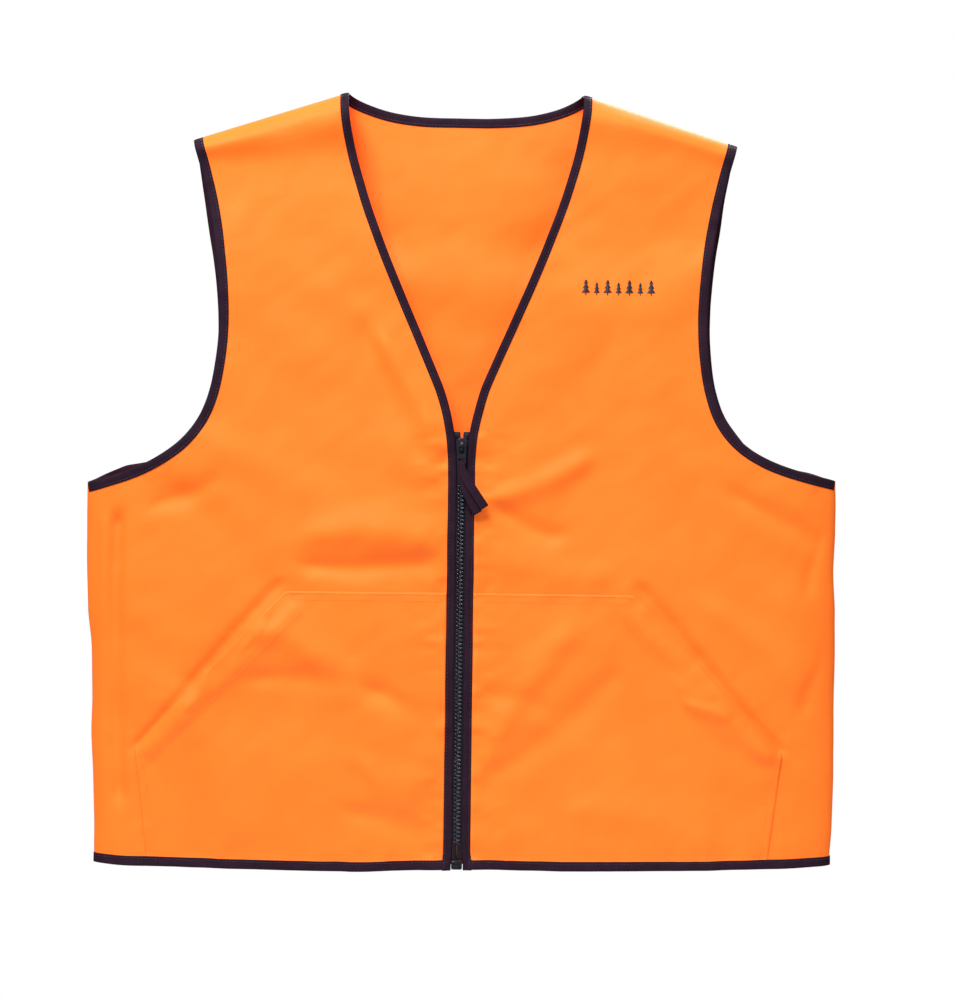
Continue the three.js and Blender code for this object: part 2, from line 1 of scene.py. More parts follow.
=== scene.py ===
"""A blaze orange hunting vest, hanging closed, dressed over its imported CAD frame.

Outlines are in millimetres: x across, with + towards the wearer's left, and z up from the hem.
`face` is -1 on the fronts and +1 on the back. Every cloth point goes through place().
"""

import math

import bmesh
import bpy
import numpy as np
from mathutils import Matrix, Vector


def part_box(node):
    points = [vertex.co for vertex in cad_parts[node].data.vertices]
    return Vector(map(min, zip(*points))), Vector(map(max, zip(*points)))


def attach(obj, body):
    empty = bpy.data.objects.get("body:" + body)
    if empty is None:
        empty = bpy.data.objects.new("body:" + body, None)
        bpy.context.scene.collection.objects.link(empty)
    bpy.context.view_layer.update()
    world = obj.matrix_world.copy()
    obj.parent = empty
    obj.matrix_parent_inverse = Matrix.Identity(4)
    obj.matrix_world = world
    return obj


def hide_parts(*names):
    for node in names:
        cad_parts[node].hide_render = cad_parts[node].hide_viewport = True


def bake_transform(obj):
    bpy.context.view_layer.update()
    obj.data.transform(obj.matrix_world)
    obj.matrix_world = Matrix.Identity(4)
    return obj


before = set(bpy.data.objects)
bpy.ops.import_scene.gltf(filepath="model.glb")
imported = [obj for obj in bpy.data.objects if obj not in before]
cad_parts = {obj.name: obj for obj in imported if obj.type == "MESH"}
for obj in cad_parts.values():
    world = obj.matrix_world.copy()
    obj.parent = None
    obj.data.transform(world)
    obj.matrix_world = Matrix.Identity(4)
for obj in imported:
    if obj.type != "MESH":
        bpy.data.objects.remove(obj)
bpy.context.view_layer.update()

MM = 0.001
FRONT = -1
BACK = 1
HANDS = {"right": -1, "left": 1}

# ---- Driving dimensions, as in the CAD frame ----

HEM_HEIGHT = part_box("hem_binding_back")[0][2]
NECK = (104.2, 687.0)
SHOULDER_TIP = (241.4, 643.2)
BACK_NECK_Z = -HEM_HEIGHT / MM
BACK_NECK_POWER = 3.2
BODY_HALF_DEPTH = 16.0
SIDE_ROLL = 50.0
SHOULDER_ROLL = 18.0
SEAM_HALF_GAP = 1.0
SEWN_HALF_GAP = 0.3
SEAM_RIPPLE = 1.5
BINDING_WIDTH = 8.6
FRONT_BINDING_WIDTH = 7.7
STITCH_INSET = 6.7
CLOTH_THICKNESS = 0.5
ZIP_EDGE_X = 4.2
ZIP_HEM_EDGE_X = 5.4

# The two sides of the cut differ by a few millimetres: (x, z) down each side seam.
SIDE_SEAM = {
    -1: ((322.0, 0.5), (326.0, 113.0), (329.6, 235.0), (332.4, 337.5)),
    1: ((331.0, 5.8), (333.0, 113.0), (333.3, 235.0), (332.4, 347.0)),
}
# How far the back's armhole edge shows past the front's, along the edge from the underarm up.
BACK_EASE = {
    -1: (
        (0, 0), (0.04, 4.4), (0.09, 6.0), (0.13, 7.4), (0.15, 2.0), (0.3, 2.4), (0.5, 2.6),
        (0.72, 5.4), (0.85, 6.6), (0.95, 4), (1, 0),
    ),
    1: (
        (0, 0), (0.04, 1.2), (0.08, 2.6), (0.11, 0.4), (0.24, 0.8), (0.32, 5.2), (0.5, 5.0),
        (0.7, 5.4), (0.86, 5.6), (0.96, 2), (1, 0),
    ),
}
HEM_SAG = ((-322, 0.5), (-200, -2.5), (-94, -3.8), (-12, -0.6), (12, 0.0), (92, -0.7), (200, 1.6), (331, 5.8))
SAG_HEIGHT = 150.0

POCKET_INNER_X = 12.0
POCKET_TOP = (154.0, 244.0)
POCKET_MOUTH = (286.0, 104.5)
POCKET_HEM_X = 273.5
POCKET_FACING = 19.0
POCKET_GAPE = 4.2
GAPE_REACH = 17.0
POCKET_PUFF = 1.1
FACING_STEP = 0.35

TOOTH_PITCH = 3.53
TEETH_FOOT_Z = 24.0
TEETH_TOP_Z = 380.0
TAPE_TOP_Z = 388.0
CHAIN_Y = -16.6
SLIDER_Z = 373.5
SLIDER_FACE_Y = -20.3
SLIDER_BACK_Y = -13.5
PULLER_Y = -21.6
RUNG_Z = -14.95
PLATE_THICKNESS = 1.2
PLATE_ROUNDING = 0.35
STOP_X = 3.6
STOP_FOOT_Z = 381.2
STOP_TOP_Z = 384.2
STOP_SPREAD_Z = 383.0
PIN_FOOT_Z = 3.4
PIN_TOP_Z = 23.2


# ---- Outlines ----

def bezier(points, count):
    """Points along a Bezier curve of any degree."""
    t = np.linspace(0, 1, count)[:, None]
    controls = np.array(points, float)
    degree = len(controls) - 1
    return sum(
        math.comb(degree, k) * (1 - t) ** (degree - k) * t**k * controls[k] for k in range(degree + 1)
    )


def chain(*runs):
    """Joins runs of points that share their end points."""
    return np.vstack([runs[0]] + [run[1:] for run in runs[1:]])


def arc_length(points):
    return np.concatenate([[0], np.cumsum(np.linalg.norm(np.diff(points, axis=0), axis=1))])


def resample(points, spacing):
    """The same line with evenly spaced points."""
    points = np.asarray(points, float)
    length = arc_length(points)
    steps = max(int(round(length[-1] / spacing)), 1)
    wanted = np.linspace(0, length[-1], steps + 1)
    return np.column_stack([np.interp(wanted, length, points[:, k]) for k in range(points.shape[1])])


def side_seam_x(z, side):
    seam = np.array(SIDE_SEAM[side])
    z = np.asarray(z, float)
    ripple = noise(z, np.zeros_like(z), 38, 90 + side) * smooth(z / 30) * smooth((seam[-1, 1] - z) / 40)
    return np.interp(z, seam[:, 1], seam[:, 0]) + SEAM_RIPPLE * ripple


def shoulder_z(x):
    slope = (SHOULDER_TIP[1] - NECK[1]) / (SHOULDER_TIP[0] - NECK[0])
    return NECK[1] + (x - NECK[0]) * slope


def back_neck_z(x):
    return BACK_NECK_Z + (NECK[1] - BACK_NECK_Z) * (np.abs(x) / NECK[0]) ** BACK_NECK_POWER


def front_edge():
    """Free edge of a front: up the zip, round the foot of the V and up to the neck point."""
    v_foot = (17.7, 428.0)
    zip_top = (ZIP_EDGE_X, 350.0)
    return chain(
        bezier([(ZIP_HEM_EDGE_X, -0.5), (ZIP_HEM_EDGE_X, 9.0), (ZIP_EDGE_X, 14.0), (ZIP_EDGE_X, 30.0)], 8),
        bezier([(ZIP_EDGE_X, 30.0), zip_top], 80),
        bezier([zip_top, (ZIP_EDGE_X, 392.0), v_foot], 24),
        bezier([v_foot, (55.5, 518.0), (102.0, 610.0), NECK], 90),
    )


def armhole_edge(side, face):
    """Free edge of an armhole, from the top of the side seam up to the shoulder."""
    start = SIDE_SEAM[side][-1]
    scoop = (225.0, 415.0)
    edge = chain(
        bezier([start, (287.0, start[1] + 11), (240.0, 366.0), scoop], 60),
        bezier([scoop, (211.0, 459.0), (210.0, 540.0), SHOULDER_TIP], 80),
    )
    if face == FRONT:
        return edge
    # The back hangs a little fuller, so its binding shows beyond the front's.
    share, ease = np.array(BACK_EASE[side]).T
    beyond = np.interp(np.linspace(0, 1, len(edge)), share, ease)
    beyond = np.convolve(np.pad(beyond, 4, "edge"), np.full(9, 1 / 9), "valid")
    return edge - inwards(edge, 1) * beyond[:, None]


def inwards(points, turn):
    """Unit vectors into the cloth. turn is 1 where the cloth lies to the left of the line."""
    along = np.gradient(points, axis=0)
    along /= np.linalg.norm(along, axis=1)[:, None]
    return np.column_stack([-turn * along[:, 1], turn * along[:, 0]])


# ---- Relief: the shape the cloth hangs in ----

def roll_off(distance, roll):
    rest = 1 - np.clip(distance / roll, 0, 1)
    return np.sqrt(1 - rest * rest)


def smooth(t):
    t = np.clip(t, 0, 1)
    return t * t * (3 - 2 * t)


def noise(x, z, scale, seed):
    """Smooth noise between -1 and 1 on a plane, with hills about `scale` across."""
    size = 128
    lattice = np.random.default_rng(seed).uniform(-1, 1, (size, size))
    across = x / scale + size / 2
    up = z / scale + size / 4
    col = np.floor(across).astype(int)
    row = np.floor(up).astype(int)
    u = smooth(across - col)
    v = smooth(up - row)
    here = lattice[row % size, col % size] * (1 - u) + lattice[row % size, (col + 1) % size] * u
    above = lattice[(row + 1) % size, col % size] * (1 - u) + lattice[(row + 1) % size, (col + 1) % size] * u
    return here * (1 - v) + above * v


# Folds that are raised (+) or hollow (-): x and z of both ends, half width, height.
# Creases at the pockets' mouths, below the shoulders and down the sides.
FRONT_CREASES = (
    (-284, 110, -160, 247, 4.5, -1.7),
    (-268, 104, -150, 228, 8, 1.3),
    (284, 110, 160, 247, 4.5, -2.3),
    (268, 104, 150, 228, 8, 1.2),
    (-186, 196, -172, 222, 5, 1.2),
    (-236, 142, -224, 166, 5, 1.2),
    (206, 150, 232, 136, 6, 1.4),
    (-64, 462, -24, 374, 9, 1.9),
    (-84, 470, -44, 372, 11, -1.4),
    (-305, 300, -299, 66, 8, -3.4),
    (-318, 300, -312, 66, 6, 1.6),
    (-232, 584, -92, 612, 48, -2.8),
    (-230, 634, -108, 668, 14, 3.0),
    (316, 292, 312, 255, 7, -1.8),
    (316, 180, 310, 150, 8, -1.8),
    (232, 584, 92, 612, 48, -2.8),
    (230, 634, 108, 668, 14, 3.0),
    (205, 520, 160, 420, 26, 1.6),
)
# Where the light shows each fold of the hanging cloth. Lit from above, its crest lies lower by
# FOLD_DROP of its half width.
FOLD_DROP = 0.6
FRONT_FOLDS = (
    (-118, 297, -20, 309, 17, 3.6),
    (-128, 274, -22, 275, 9, -2.4),
    (-205, 372, -70, 330, 22, 1.6),
    (-250, 330, -150, 262, 18, -1.6),
    (-162, 208, -95, 183, 15, 2.4),
    (-170, 176, -70, 163, 11, -2.0),
    (-70, 163, -24, 128, 10, -1.9),
    (-72, 94, -34, 84, 17, 2.4),
    (-82, 58, -24, 26, 12, -2.2),
    (-250, 150, -190, 60, 18, 1.8),
    (-262, 322, -225, 346, 9, -1.6),
    (-205, 560, -150, 480, 26, 1.4),
    (16, 332, 102, 364, 10, 2.8),
    (34, 322, 80, 304, 9, -2.4),
    (22, 292, 120, 268, 14, 1.5),
    (24, 166, 66, 148, 10, -1.8),
    (18, 110, 94, 206, 12, 2.2),
    (40, 90, 128, 176, 12, -1.8),
    (120, 60, 210, 40, 16, 1.6),
    (198, 168, 270, 110, 9, 2.0),
    (232, 238, 300, 168, 13, 1.8),
    (250, 340, 308, 298, 10, -2.4),
    (120, 470, 60, 400, 16, -1.2),
)
BACK_FOLDS = (
    (-200, 610, -60, 560, 24, 2.4),
    (200, 610, 60, 560, 24, 2.2),
    (-150, 520, 140, 500, 30, -2.4),
    (-40, 480, -70, 120, 26, 2.4),
    (60, 420, 110, 60, 28, 2.0),
    (170, 300, 190, 40, 22, -2.2),
    (-170, 280, -200, 30, 22, -2.0),
    (-290, 330, -180, 240, 18, 2.2),
    (290, 330, 190, 250, 18, 2.2),
    (305, 300, 300, 60, 9, -2.2),
    (-305, 300, -300, 60, 9, -2.2),
)


def fold_relief(x, z, folds, drop=0.0):
    total = np.zeros_like(x)
    for x0, top_z, x1, end_z, width, height in folds:
        lower = round(drop * width)
        z0, z1 = top_z - lower, end_z - lower
        run = np.array([x1 - x0, z1 - z0], float)
        length = np.linalg.norm(run)
        along = ((x - x0) * run[0] + (z - z0) * run[1]) / length
        off = (-(x - x0) * run[1] + (z - z0) * run[0]) / length
        beyond = np.maximum(np.maximum(-along, along - length), 0)
        width_here = width * (0.8 + 0.3 * np.sin(along / length * 2.4))
        bend = width * 0.5 * np.sin(along / length * 3.0 + x0)
        total += height * np.exp(-(((off - bend) / width_here) ** 2) - (beyond / (width * 1.4)) ** 2)
    return total


GATHER_STEP = 4.0
GATHER_RUN = 3.0


def pucker(x, z, line, reach, wave, height, seed):
    """Short gathers that stand square to a seam and die away from it."""
    line = resample(line, GATHER_STEP)
    length = arc_length(line)
    best = np.full(x.shape, 1e9)
    nearest = np.zeros(x.shape, int)
    for index, (px, pz) in enumerate(line):
        distance = np.hypot(x - px, z - pz)
        closer = distance < best
        best = np.where(closer, distance, best)
        nearest = np.where(closer, index, nearest)
    tangent = np.gradient(line, axis=0)
    tangent /= np.linalg.norm(tangent, axis=1)[:, None]
    run = (x - line[nearest, 0]) * tangent[nearest, 0] + (z - line[nearest, 1]) * tangent[nearest, 1]
    run = np.clip(run, -GATHER_RUN, GATHER_RUN)
    along = length[nearest] + run
    best = np.sqrt(np.maximum(best**2 - run**2, 0))
    gather = noise(along, best * 0.35, wave, seed) + 0.5 * noise(along, best * 0.6, wave * 0.45, seed + 1)
    return height * gather * np.exp(-((best / reach) ** 2)) * smooth((best + 4) / 9)


def mirrored(line, side):
    return np.column_stack([line[:, 0] * side, line[:, 1]])


GATHERED_ZIP_TOP = 395
HEM_HALF_WIDTH = 325.0


def seam_gathers(x, z, face):
    total = np.zeros_like(x)
    for side in (-1, 1):
        arm = mirrored(armhole_edge(side, face), side)
        total += pucker(x, z, arm, reach=20, wave=11, height=0.55, seed=30 + side)
        if face == FRONT:
            edge = mirrored(front_edge(), side)
            zipped = edge[edge[:, 1] < GATHERED_ZIP_TOP]
            open_v = edge[edge[:, 1] > GATHERED_ZIP_TOP]
            total += pucker(x, z, zipped, reach=30, wave=14, height=1.7, seed=40 + side)
            total += pucker(x, z, open_v, reach=16, wave=12, height=0.5, seed=50 + side)
    hem = np.array([(-HEM_HALF_WIDTH, 0.0), (HEM_HALF_WIDTH, 0.0)])
    total += pucker(x, z, hem, reach=30, wave=17, height=1.2, seed=60)
    if face == BACK:
        neck_x = np.linspace(-NECK[0], NECK[0], 30)
        neck = np.column_stack([neck_x, back_neck_z(neck_x)])
        total += pucker(x, z, neck, reach=16, wave=12, height=0.5, seed=61)
    return total


def pocket_gathers(x, z):
    """The cloth is drawn up a little along the pockets' stitching."""
    total = np.zeros_like(x)
    for side in (-1, 1):
        sewn = np.array([(POCKET_INNER_X, POCKET_TOP[1]), POCKET_TOP]) * (side, 1)
        flank = np.array([POCKET_MOUTH, (POCKET_HEM_X, 0)]) * (side, 1)
        mouth = np.array([POCKET_TOP, POCKET_MOUTH]) * (side, 1)
        total += pucker(x, z, sewn, reach=14, wave=12, height=0.7, seed=70 + side)
        total += pucker(x, z, mouth, reach=20, wave=16, height=0.8, seed=74 + side)
        total += pucker(x, z, flank, reach=14, wave=12, height=0.5, seed=80 + side)
    return total


def from_side_seam(x, z):
    """Distance in from the nearer side seam."""
    return np.where(x < 0, side_seam_x(z, -1), side_seam_x(z, 1)) - np.abs(x)


def half_depth(x, z):
    across = np.abs(x)
    side = roll_off(from_side_seam(x, z), SIDE_ROLL)
    return BODY_HALF_DEPTH * side * roll_off(shoulder_z(across) - z, SHOULDER_ROLL)


FOLD_STRENGTH = 1.75
# Height and size of the hills in the hanging cloth, from broad swells to small dimples.
SWELL_HEIGHT, SWELL_SIZE = 3.3, 120
ROLL_HEIGHT, ROLL_SIZE = 1.6, 46
DIMPLE_HEIGHT, DIMPLE_SIZE = 0.5, 17
# The relief dies away over these distances from the seams and from the zip.
SEAM_CALM = 34
SHOULDER_CALM = 16
ZIP_FLAT = 5
GATHER_CALM = 12
ZIP_GATHER_CALM = 10


def relief(x, z, face):
    """How far the cloth stands out beyond the plain rolled shape."""
    if face == FRONT:
        folds = fold_relief(x, z, FRONT_CREASES) + fold_relief(x, z, FRONT_FOLDS, FOLD_DROP)
    else:
        folds = fold_relief(x, z, BACK_FOLDS)
    seed = 5 if face == FRONT else 15
    inset = from_side_seam(x, z)
    calm = smooth(inset / SEAM_CALM) * smooth((shoulder_z(np.abs(x)) - z) / SHOULDER_CALM)
    hang = FOLD_STRENGTH * folds + SWELL_HEIGHT * noise(x, z, SWELL_SIZE, seed)
    rolls = ROLL_HEIGHT * noise(x + 0.5 * z, z, ROLL_SIZE, seed + 1)
    hang += rolls + DIMPLE_HEIGHT * noise(x - 0.4 * z, z, DIMPLE_SIZE, seed + 2)
    if face == FRONT:
        # The zip keeps the middle straight.
        hang = hang * smooth((np.abs(x) - ZIP_FLAT) / SEAM_CALM)
    gathers = seam_gathers(x, z, face)
    if face == FRONT:
        gathers = (gathers + pocket_gathers(x, z)) * smooth((np.abs(x) - ZIP_FLAT) / ZIP_GATHER_CALM)
    return hang * calm + gathers * smooth(inset / GATHER_CALM)


def place(x, z, face, lift=0.0):
    """Vest points in metres. lift is measured outward from the cloth's middle, in millimetres."""
    x = np.asarray(x, float)
    z = np.asarray(z, float)
    depth = half_depth(x, z)
    gap = SEWN_HALF_GAP + (SEAM_HALF_GAP - SEWN_HALF_GAP) * depth / BODY_HALF_DEPTH
    y = face * (gap + depth + relief(x, z, face) + lift)
    sag = np.array(HEM_SAG)
    drop = np.interp(x, sag[:, 0], sag[:, 1]) * np.clip(1 - z / SAG_HEIGHT, 0, 1)
    lifted = z + np.where(z < SAG_HEIGHT, drop, 0)
    return np.stack([x * MM, y * MM, lifted * MM + HEM_HEIGHT], axis=-1)


# ---- Mesh helpers ----

def mesh_object(name, vertices, faces, uvs=None):
    mesh = bpy.data.meshes.new(name)
    mesh.from_pydata([tuple(v) for v in vertices], [], [tuple(f) for f in faces])
    if uvs is not None:
        layer = mesh.uv_layers.new(name="cloth")
        loops = np.empty(len(mesh.loops), dtype=np.int32)
        mesh.loops.foreach_get("vertex_index", loops)
        layer.data.foreach_set("uv", np.asarray(uvs, np.float32)[loops].ravel())
    mesh.polygons.foreach_set("use_smooth", [True] * len(mesh.polygons))
    mesh.update()
    piece = bpy.data.objects.new(name, mesh)
    bpy.context.collection.objects.link(piece)
    return piece


def grid_faces(rows, columns, closed_columns=False, flip=False):
    last_column = columns if closed_columns else columns - 1
    faces = []
    for row in range(rows - 1):
        for column in range(last_column):
            a = row * columns + column
            b = row * columns + (column + 1) % columns
            c = b + columns
            d = a + columns
            faces.append((d, c, b, a) if flip else (a, b, c, d))
    return faces


def cloth_object(name, x, z, face, lift=0.0):
    """A cloth from 2-D arrays of x (rising along columns) and z (rising along rows)."""
    rows, columns = x.shape
    points = place(x, z, face, lift).reshape(-1, 3)
    uvs = np.column_stack([x.ravel(), z.ravel()]) * MM
    return mesh_object(name, points, grid_faces(rows, columns, flip=face == BACK), uvs)


def thicken(piece, thickness):
    solid = piece.modifiers.new("thickness", "SOLIDIFY")
    solid.thickness = thickness * MM
    solid.offset = 0
    return piece


# ---- Cloth panels ----

LOWER_ROWS = 120
ACROSS = 120
BACK_ACROSS = 170
EDGE_TUCK = 1.6
SHOULDER_TUCK = 0.05
SHOULDER_EASE = 60.0


def outer_rows(side, face):
    """Points up the outer edge of a panel: side seam, then armhole, tucked inside its binding."""
    arm = armhole_edge(side, face)
    arm = resample(arm + inwards(arm, 1) * EDGE_TUCK, 2.6)
    lower_z = np.linspace(EDGE_TUCK, arm[0, 1], LOWER_ROWS + 1)[:-1]
    lower = np.column_stack([side_seam_x(lower_z, side), lower_z])
    return np.vstack([lower, arm]), len(lower)


def columns_between(count):
    """Shares of the way across, closer together near both edges."""
    even = np.linspace(0, 1, count)
    return (even - 0.6 * np.sin(2 * math.pi * even) / (2 * math.pi))[None, :]


def front_cloth(hand):
    side = HANDS[hand]
    outer, underarm = outer_rows(side, FRONT)
    edge = front_edge()
    edge = edge + inwards(edge, -1) * EDGE_TUCK
    base = outer[underarm, 1]
    stretch = (NECK[1] - 0.6 - base) / (outer[-1, 1] - base)
    inner_z = np.where(outer[:, 1] > base, base + (outer[:, 1] - base) * stretch, outer[:, 1])
    inner_x = np.interp(inner_z, edge[:, 1], edge[:, 0])
    share = columns_between(ACROSS)
    x = side * (inner_x[:, None] * (1 - share) + outer[:, :1] * share)
    z = inner_z[:, None] * (1 - share) + outer[:, 1:] * share
    seam = shoulder_z(np.abs(x[-1])) - SHOULDER_TUCK
    z = z + (seam - z[-1]) * np.clip(1 - (z[-1] - z) / SHOULDER_EASE, 0, 1)
    if side < 0:
        x, z = x[:, ::-1], z[:, ::-1]
    return cloth_object(f"front_cloth_{hand}", x, z, FRONT)


def back_cloth():
    right, underarm = outer_rows(-1, BACK)
    left, _ = outer_rows(1, BACK)
    count = min(len(right), len(left))
    right, left = right[-count:], left[-count:]
    share = columns_between(BACK_ACROSS)
    x = -right[:, :1] * (1 - share) + left[:, :1] * share
    edge_z = right[:, 1:] * (1 - share) + left[:, 1:] * share
    base = right[underarm, 1]
    tip_z = right[-1, 1]
    top_x = -right[-1, 0] * (1 - share) + left[-1, 0] * share
    neck_top = back_neck_z(np.clip(top_x, -NECK[0], NECK[0])) - EDGE_TUCK
    top_z = np.minimum(shoulder_z(np.abs(top_x)) - SHOULDER_TUCK, neck_top)
    top_z = np.where(np.abs(top_x) > NECK[0] + 3, shoulder_z(np.abs(top_x)) - SHOULDER_TUCK, top_z)
    stretch = (top_z - base) / (tip_z - base)
    z = np.where(edge_z > base, base + (edge_z - base) * stretch, edge_z)
    return cloth_object("back_cloth", x, z, BACK)


# ---- Bindings: a strip folded over the edge, with a row of stitches near its inner edge ----

BINDING_PROFILE = (
    (BINDING_WIDTH, 0.30), (BINDING_WIDTH, 0.78), (7.6, 0.95), (6.6, 0.78), (5.4, 1.05), (3.2, 1.25),
    (1.2, 1.15), (0.3, 0.8), (0.0, 0.0), (0.3, -0.8), (1.2, -1.15), (3.2, -1.25), (5.4, -1.05),
    (6.6, -0.78), (7.6, -0.95), (BINDING_WIDTH, -0.78), (BINDING_WIDTH, -0.30),
)


def binding_run(edge, turn, face, seed, width=BINDING_WIDTH):
    """Vertices, faces and uvs of a binding along one edge line."""
    edge = resample(edge, 2.6)
    into = inwards(edge, turn)
    profile = np.array(BINDING_PROFILE) * (width / BINDING_WIDTH, 1)
    length = arc_length(edge)
    ease = 0.22 * noise(length, length * 0 + 3, 9, seed)
    waver = 0.25 * noise(length, length * 0, 24, seed + 1)
    x = edge[:, None, 0] + into[:, None, 0] * (profile[None, :, 0] + waver[:, None])
    z = edge[:, None, 1] + into[:, None, 1] * (profile[None, :, 0] + waver[:, None])
    z = np.minimum(z, shoulder_z(np.abs(x)) + 1.0)
    full = np.abs(profile[None, :, 1]) > 0.9
    lift = profile[None, :, 1] * (1 + np.where(full, ease[:, None], 0))
    points = place(x, z, face, lift)
    rows, columns = x.shape
    faces = grid_faces(rows, columns, closed_columns=True, flip=(turn * face) < 0)
    cap = tuple(range(columns))
    end = tuple((rows - 1) * columns + k for k in reversed(range(columns)))
    faces += [cap[::-1], end[::-1]] if (turn * face) < 0 else [cap, end]
    across = np.broadcast_to(np.cumsum(np.full(columns, 1.4)), (rows, columns))
    along = np.broadcast_to(length[:, None], (rows, columns))
    uvs = np.column_stack([across.ravel(), along.ravel()]) * MM
    return points.reshape(-1, 3), faces, uvs


def joined(name, *runs):
    vertices, faces, uvs = [], [], []
    offset = 0
    for points, run_faces, run_uvs in runs:
        vertices.append(points)
        uvs.append(run_uvs)
        faces += [tuple(i + offset for i in f) for f in run_faces]
        offset += len(points)
    return mesh_object(name, np.vstack(vertices), faces, np.vstack(uvs))


THREAD_RINGS = ((0.0, 0.25), (0.18, 0.9), (0.5, 1.0), (0.82, 0.9), (1.0, 0.25))
THREAD_SIDES = 6


def thread_segments(starts, ends, face, lift, radius, surface=None):
    """Short lengths of thread laid on the cloth between pairs of (x, z) points."""
    share = np.array([t for t, _ in THREAD_RINGS])[None, :, None]
    heads = (starts[:, None] * (1 - share) + ends[:, None] * share).reshape(-1, 2)
    dip = np.array([-0.6 if t in (0.0, 1.0) else 0.25 for t, _ in THREAD_RINGS]) * radius
    swell = np.tile([r for _, r in THREAD_RINGS], len(starts))
    height = lift + np.tile(dip, len(starts))
    if surface is not None:
        height = height + surface(heads[:, 0], heads[:, 1])
    centre = place(heads[:, 0], heads[:, 1], face, height)
    runs = centre.reshape(-1, len(THREAD_RINGS), 3)
    along = runs[:, -1] - runs[:, 0]
    along /= np.linalg.norm(along, axis=1)[:, None]
    across = np.cross(along, (0.0, face, 0.0))
    across /= np.linalg.norm(across, axis=1)[:, None]
    out = np.cross(across, along)
    across = np.repeat(across, len(THREAD_RINGS), axis=0)
    out = np.repeat(out, len(THREAD_RINGS), axis=0)
    angle = np.linspace(0, 2 * math.pi, THREAD_SIDES, endpoint=False)
    ring = np.cos(angle)[None, :, None] * across[:, None] + np.sin(angle)[None, :, None] * out[:, None]
    vertices = (centre[:, None] + ring * (swell * radius * MM)[:, None, None]).reshape(-1, 3)
    per = len(THREAD_RINGS) * THREAD_SIDES
    tube = grid_faces(len(THREAD_RINGS), THREAD_SIDES, closed_columns=True)
    tube.append(tuple(reversed(range(THREAD_SIDES))))
    tube.append(tuple(range(per - THREAD_SIDES, per)))
    faces = [tuple(per * k + i for i in f) for k in range(len(starts)) for f in tube]
    return vertices, faces, np.zeros((len(vertices), 2))


def stitch_run(line, face, lift, length=2.3, pitch=3.1, radius=0.3, surface=None):
    """A row of lockstitches along a line on the cloth."""
    path = resample(line, 0.5)
    distance = arc_length(path)
    begin = np.arange(pitch / 2, distance[-1] - length, pitch)
    starts = np.column_stack([np.interp(begin, distance, path[:, k]) for k in (0, 1)])
    ends = np.column_stack([np.interp(begin + length, distance, path[:, k]) for k in (0, 1)])
    return thread_segments(starts, ends, face, lift, radius, surface)


def offset_line(line, turn, distance):
    return line + inwards(line, turn) * distance


def two_stitch_rows(edge, turn, face, inset=STITCH_INSET):
    """The binding's seam shows on both faces of the cloth."""
    line = offset_line(edge, turn, inset)
    return [stitch_run(line, face, 0.85), stitch_run(line, face, -0.85)]


# ---- Materials ----

def material(name):
    made = bpy.data.materials.new(name)
    made.use_nodes = True
    tree = made.node_tree
    shader = tree.nodes["Principled BSDF"]
    return made, tree, shader


def add(tree, kind, **settings):
    node = tree.nodes.new(kind)
    for key, value in settings.items():
        if key in node.inputs:
            node.inputs[key].default_value = value
        else:
            setattr(node, key, value)
    return node


def uv_source(tree):
    return add(tree, "ShaderNodeUVMap", uv_map="cloth").outputs["UV"]


def threads(tree, coordinates, pitch, angle):
    """Bands of thread, one every `pitch` millimetres, turned by `angle`."""
    turn = add(tree, "ShaderNodeMapping")
    turn.inputs["Rotation"].default_value = (0, 0, angle)
    tree.links.new(coordinates, turn.inputs["Vector"])
    bands = add(tree, "ShaderNodeTexWave", wave_type="BANDS", bands_direction="X")
    bands.inputs["Scale"].default_value = 1 / (pitch * MM * 3.1416) / 2
    bands.inputs["Distortion"].default_value = 0.35
    bands.inputs["Detail"].default_value = 1.0
    tree.links.new(turn.outputs["Vector"], bands.inputs["Vector"])
    return bands.outputs["Fac"]


def noise_node(tree, coordinates, size, detail=2.0):
    cloud = add(tree, "ShaderNodeTexNoise")
    cloud.inputs["Scale"].default_value = 1 / (size * MM)
    cloud.inputs["Detail"].default_value = detail
    tree.links.new(coordinates, cloud.inputs["Vector"])
    return cloud.outputs["Fac"]


def maths(tree, operation, first, second):
    node = add(tree, "ShaderNodeMath", operation=operation)
    for socket, value in zip(node.inputs, (first, second)):
        if isinstance(value, (int, float)):
            socket.default_value = value
        else:
            tree.links.new(value, socket)
    return node.outputs[0]


def ramp(tree, factor, stops):
    node = add(tree, "ShaderNodeValToRGB")
    elements = node.color_ramp.elements
    elements[0].position, elements[0].color = stops[0][0], (*stops[0][1], 1)
    elements[1].position, elements[1].color = stops[-1][0], (*stops[-1][1], 1)
    for position, colour in stops[1:-1]:
        elements.new(position).color = (*colour, 1)
    tree.links.new(factor, node.inputs["Fac"])
    return node.outputs["Color"]


def bump(tree, height, distance, strength, after=None):
    node = add(tree, "ShaderNodeBump")
    node.inputs["Distance"].default_value = distance * MM
    node.inputs["Strength"].default_value = strength
    tree.links.new(height, node.inputs["Height"])
    if after is not None:
        tree.links.new(after, node.inputs["Normal"])
    return node.outputs["Normal"]


def grained(name, size, detail, source="Object"):
    """A new material with a fine grain in it."""
    made, tree, shader = material(name)
    coordinates = add(tree, "ShaderNodeTexCoord").outputs[source]
    return made, tree, shader, noise_node(tree, coordinates, size, detail)


def weighted(tree, first, share, second, rest):
    """The sum of two values, each times its own weight."""
    return maths(tree, "ADD", maths(tree, "MULTIPLY", first, share), maths(tree, "MULTIPLY", second, rest))


def colour_by(tree, shader, factor, *stops):
    tree.links.new(ramp(tree, factor, stops), shader.inputs["Base Color"])


